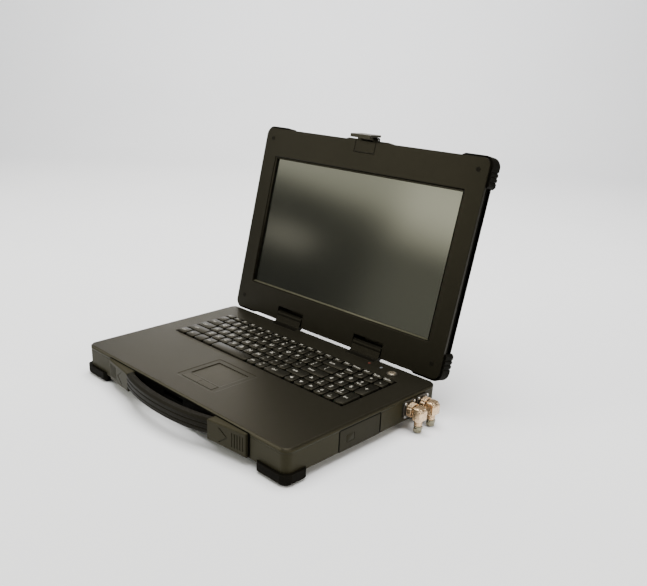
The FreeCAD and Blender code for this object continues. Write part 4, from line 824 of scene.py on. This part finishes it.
# right-angle plugs: hex nut, mitred elbow with a screwed cover, ribbed stem, and a saddle clamp on the cable end
connector = {"half": 0.0075, "foot": -0.0096, "inner": 0.2140, "outer": 0.2268, "mitre": 0.0044, "soft": 0.0016,
             "stemX": 0.2192, "stemEnd": -0.0175}
rods = {
    "barrel": {"axis": "X", "radius": 0.0058, "ends": (0.2066, 0.2140), "sides": 24, "soft": 0.0004},
    "nut": {"axis": "X", "radius": 0.0075, "ends": (0.2133, 0.2158), "sides": 6, "soft": 0.0004},
    "collar": {"axis": "Z", "radius": 0.0058, "ends": (-0.0114, -0.0090), "sides": 8, "soft": 0.0003},
    "stem": {"axis": "Z", "radius": 0.0046, "ends": (connector["stemEnd"], connector["foot"]), "sides": 20,
             "soft": 0.0003},
    "upperRidge": {"axis": "Z", "radius": 0.0052, "ends": (-0.0138, -0.0126), "sides": 20, "soft": 0.0002},
    "lowerRidge": {"axis": "Z", "radius": 0.0052, "ends": (-0.0160, -0.0148), "sides": 20, "soft": 0.0002},
}
cover = {"low": (-0.0023, -0.0047, -0.0002), "high": (0.0023, 0.0047, 0.0005), "corner": 0.0012, "screw": 0.001,
         "screwHeight": 0.0006, "screwAt": 0.003}
clamp = {"end": -0.025, "radius": 0.0052, "sides": 24, "bore": 0.0035, "earHalf": 0.0022, "earEnds": (0.0046, 0.0066),
         "earLow": 0.0012, "earHigh": 0.0016, "soft": 0.0004, "screw": 0.0011, "screwHeight": 0.0008,
         "screwAt": 0.0056, "screwLow": 0.0025, "screwHigh": 0.0028}


def modelRod(rod):
    # bevelled rod, along X on the plug's own axis or along Z on the axis of its stem
    clearSelection()
    low, high = rod["ends"]
    middle = (low + high) / 2
    if rod["axis"] == "X":
        place, turn, pick = (middle, 0, 0), (0, math.radians(90), 0), 0
    else:
        place, turn, pick = (connector["stemX"], 0, middle), (0, 0, 0), 2
    bpy.ops.mesh.primitive_cylinder_add(vertices=rod["sides"], radius=rod["radius"], depth=high - low, location=place,
                                        rotation=turn)
    bpy.ops.object.transform_apply(location=True, rotation=True, scale=True)
    made = bpy.context.object
    editEdges(made, lambda edge: any(all(abs(vert.co[pick] - level) < touch for vert in edge.verts)
                                     for level in (low, high)))
    bpy.ops.mesh.bevel(offset=rod["soft"], segments=2, affect="EDGES")
    endEdit(crease["block"])
    return made


def modelElbow():
    half, foot, outer, mitre = [connector[key] for key in ("half", "foot", "outer", "mitre")]
    pieces = [modelRod(rod) for rod in rods.values()]
    block = addBlock((connector["inner"], -half, foot), (outer, half, half))
    editEdges(block, lambda edge: all(vert.co.x > outer - near and vert.co.z > half - near for vert in edge.verts))
    bpy.ops.mesh.bevel(offset=mitre, segments=1, affect="EDGES")
    editEdges(block, lambda edge: True)
    bpy.ops.mesh.bevel(offset=connector["soft"], segments=3, affect="EDGES")
    endEdit(crease["block"])
    pieces.append(block)
    slant = Matrix.Translation((outer - mitre / 2, 0, half - mitre / 2)) @ Matrix.Rotation(math.radians(45), 4, "Y")
    plate = addBlock(cover["low"], cover["high"])
    editEdges(plate, lambda edge: abs(edge.verts[0].co.z - edge.verts[1].co.z) > near)
    bpy.ops.mesh.bevel(offset=cover["corner"], segments=3, affect="EDGES")
    endEdit(crease["block"])
    pieces.append(copyTo(plate, slant))
    discard(plate)
    screw = modelScrew(cover["screw"], cover["screwHeight"])
    for y in (-cover["screwAt"], cover["screwAt"]):
        pieces.append(copyTo(screw, slant @ Matrix.Translation((0, y, cover["high"][2]))))
    discard(screw)
    return joinAll(pieces)


def modelClamp():
    stemX, low, high = connector["stemX"], clamp["end"], connector["stemEnd"]
    clearSelection()
    bpy.ops.mesh.primitive_cylinder_add(vertices=clamp["sides"], radius=clamp["radius"], depth=high - low,
                                        location=(stemX, 0, (low + high) / 2))
    bpy.ops.object.transform_apply(location=True, rotation=True, scale=True)
    tube = bpy.context.object
    editFaces(tube, lambda face: abs(face.normal.z) > square)
    bpy.ops.mesh.inset(thickness=clamp["radius"] - clamp["bore"], use_individual=True)
    bpy.ops.mesh.delete(type="FACE")
    editEdges(tube, lambda edge: edge.is_boundary)
    bpy.ops.mesh.bridge_edge_loops()
    bpy.ops.mesh.select_all(action="SELECT")
    bpy.ops.mesh.normals_make_consistent(inside=False)
    endEdit(crease["block"])
    pieces = [tube]
    screw = modelScrew(clamp["screw"], clamp["screwHeight"])
    earFace = stemX + clamp["earHalf"]
    for side in (-1, 1):
        ends = sorted(side * end for end in clamp["earEnds"])
        ear = addBlock((stemX - clamp["earHalf"], ends[0], low + clamp["earLow"]),
                       (earFace, ends[1], high - clamp["earHigh"]))
        editEdges(ear, lambda edge: True)
        bpy.ops.mesh.bevel(offset=clamp["soft"], segments=2, affect="EDGES")
        endEdit(crease["block"])
        pieces.append(ear)
        for level in (low + clamp["screwLow"], high - clamp["screwHigh"]):
            spot = Matrix.Translation((earFace, clamp["screwAt"] * side, level))
            pieces.append(copyTo(screw, spot @ facing["right"]))
    discard(screw)
    return joinAll(pieces)


for label, model, finish in (("plug_elbow", modelElbow, plugNickel), ("cable_clamp", modelClamp, clampSteel)):
    pattern = model()
    for end, y in plugRows.items():
        twin = copyTo(pattern, Matrix.Translation((0, y, plugHeight)))
        piece = settle(twin, label + "_" + end + "_metal", finish)
        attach(piece, "base")
        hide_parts(label + "_" + end)
    discard(pattern)
print("plugs made")

# ring with an opening and a bar, on top of the power button
powerMark = {"x": 0.146, "y": 0.111, "low": 0.03598, "radius": 0.0023, "sides": 36, "line": 0.0005, "opening": 35,
             "height": 0.00008, "barStart": 0.25, "barEnd": 1.15}
clearSelection()
bpy.ops.mesh.primitive_circle_add(vertices=powerMark["sides"], radius=powerMark["radius"], fill_type="NGON",
                                  location=(0, 0, powerMark["low"]))
bpy.ops.object.transform_apply(location=True, rotation=True, scale=True)
mark = bpy.context.object
editFaces(mark, lambda face: True)
bpy.ops.mesh.inset(thickness=powerMark["line"])
bpy.ops.mesh.delete(type="FACE")
editFaces(mark, lambda face: abs(math.degrees(math.atan2(*face.calc_center_median().xy))) < powerMark["opening"])
bpy.ops.mesh.delete(type="FACE")
editFaces(mark, lambda face: True)
bpy.ops.mesh.extrude_region_move(TRANSFORM_OT_translate={"value": (0, 0, powerMark["height"])})
endEdit(crease["block"])
bar = addBlock((-powerMark["line"] / 2, powerMark["radius"] * powerMark["barStart"], powerMark["low"]),
               (powerMark["line"] / 2, powerMark["radius"] * powerMark["barEnd"],
                powerMark["low"] + powerMark["height"]))
piece = joinAll([mark, bar])
piece.location = (powerMark["x"], powerMark["y"], 0)
piece = settle(piece, "power_mark", screwBlack)
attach(piece, "power_key")
print("power mark made")

# pale floor that curves up into a low wall behind the part, seen square from the camera
studio = {"floor": -0.010, "reach": 2.8, "wall": 0.88, "sweep": 0.7, "steps": 12, "spread": 2.6, "turn": 44.3,
          "glow": 0.12}
clearSelection()
bpy.ops.mesh.primitive_plane_add(size=studio["reach"] * 2, location=(0, 0, studio["floor"]))
floor = bpy.context.object
floor.scale = (studio["spread"], 1, 1)
bpy.ops.object.transform_apply(location=True, rotation=True, scale=True)
editEdges(floor, lambda edge: all(vert.co.y > studio["reach"] - near for vert in edge.verts))
bpy.ops.mesh.extrude_edges_move(TRANSFORM_OT_translate={"value": (0, 0, studio["wall"])})
editEdges(floor, lambda edge: all(vert.co.y > studio["reach"] - near and vert.co.z < studio["floor"] + near
                                  for vert in edge.verts))
bpy.ops.mesh.bevel(offset=studio["sweep"], segments=studio["steps"], affect="EDGES")
endEdit(crease["sweep"])
floor.rotation_euler = (0, 0, math.radians(studio["turn"]))
floor = settle(floor, "floor", floorPaint)

world = bpy.data.worlds.new("studio")
bpy.context.scene.world = world
world.use_nodes = True
world.node_tree.nodes["Background"].inputs["Color"].default_value = rgb(1.0, 0.98, 0.94)
world.node_tree.nodes["Background"].inputs["Strength"].default_value = studio["glow"]

lamps = [
    {"name": "wallLamp", "place": (-0.45, 0.72, 2.5), "aim": (-1.62, 2.2, 0.5),
     "size": (1.8, 1.8), "power": 115, "tint": (1.0, 0.98, 0.95)},
    {"name": "topLamp", "place": (0.3, -0.2, 2.5), "aim": (0, 0, 0),
     "size": (2.0, 2.0), "power": 96, "tint": (1.0, 0.98, 0.94)},
    {"name": "backLamp", "place": (-1.68, 1.36, 1.15), "aim": (0, 0, 0),
     "size": (1.3, 1.0), "power": 5.0, "tint": (1.0, 0.90, 0.72)},
    {"name": "frontLamp", "place": (-1.22, -1.29, 0.985), "aim": (0, 0.15, 0.2),
     "size": (1.3, 0.85), "power": 19, "tint": (1.0, 0.98, 0.84)},
    {"name": "glareLamp", "place": (-0.87, -1.37, 0.60), "aim": (0.1, 0.15, 0.25),
     "size": (0.4, 0.28), "power": 2.0, "tint": (1.0, 0.97, 0.84)},
    {"name": "gleamLamp", "place": (-1.46, -1.16, 0.35), "aim": (-0.1, 0.17, 0.16),
     "size": (0.24, 0.09), "power": 0.22, "tint": (1.0, 0.95, 0.84)},
    {"name": "lowLamp", "place": (-1.1, -1.95, 0.25), "aim": (0, 0.15, 0.15),
     "size": (0.8, 0.4), "power": 1.5, "tint": (1.0, 0.98, 0.86)},
    {"name": "sideLamp", "place": (1.9, 0.4, 0.9), "aim": (0.1, 0, 0.05),
     "size": (1.2, 1.2), "power": 18, "tint": (1.0, 0.94, 0.80)},
]
for lamp in lamps:
    light = bpy.data.lights.new(lamp["name"], "AREA")
    light.shape = "RECTANGLE"
    light.size, light.size_y = lamp["size"]
    light.energy = lamp["power"]
    light.color = lamp["tint"]
    holder = bpy.data.objects.new(lamp["name"], light)
    bpy.context.scene.collection.objects.link(holder)
    holder.location = lamp["place"]
    holder.rotation_euler = (Vector(lamp["aim"]) - Vector(lamp["place"])).to_track_quat("-Z", "Y").to_euler()

shot = {"place": (0.6967, -0.6116, 0.4283), "azimuth": 44.3, "elevation": 21.44, "roll": 2.1, "lens": 41.57,
        "sensor": 36, "shiftX": 0.0224, "shiftY": 0.0765, "clipStart": 0.01}
azimuth, elevation, roll = [math.radians(shot[key]) for key in ("azimuth", "elevation", "roll")]
right = Vector((math.cos(azimuth), math.sin(azimuth), 0))
forward = Vector((-math.sin(azimuth), math.cos(azimuth), 0))
back = Vector((0, 0, math.sin(elevation))) - forward * math.cos(elevation)
up = back.cross(right)
rolledRight = right * math.cos(roll) + up * math.sin(roll)
rolledUp = up * math.cos(roll) - right * math.sin(roll)
lensData = bpy.data.cameras.new("shotCamera")
lensData.sensor_width = shot["sensor"]
lensData.lens = shot["lens"]
lensData.shift_x = shot["shiftX"]
lensData.shift_y = shot["shiftY"]
lensData.clip_start = shot["clipStart"]
camera = bpy.data.objects.new("shotCamera", lensData)
bpy.context.scene.collection.objects.link(camera)
camera.matrix_world = Matrix.Translation(shot["place"]) @ Matrix((rolledRight, rolledUp, back)).transposed().to_4x4()
bpy.context.scene.camera = camera
print("studio ready")
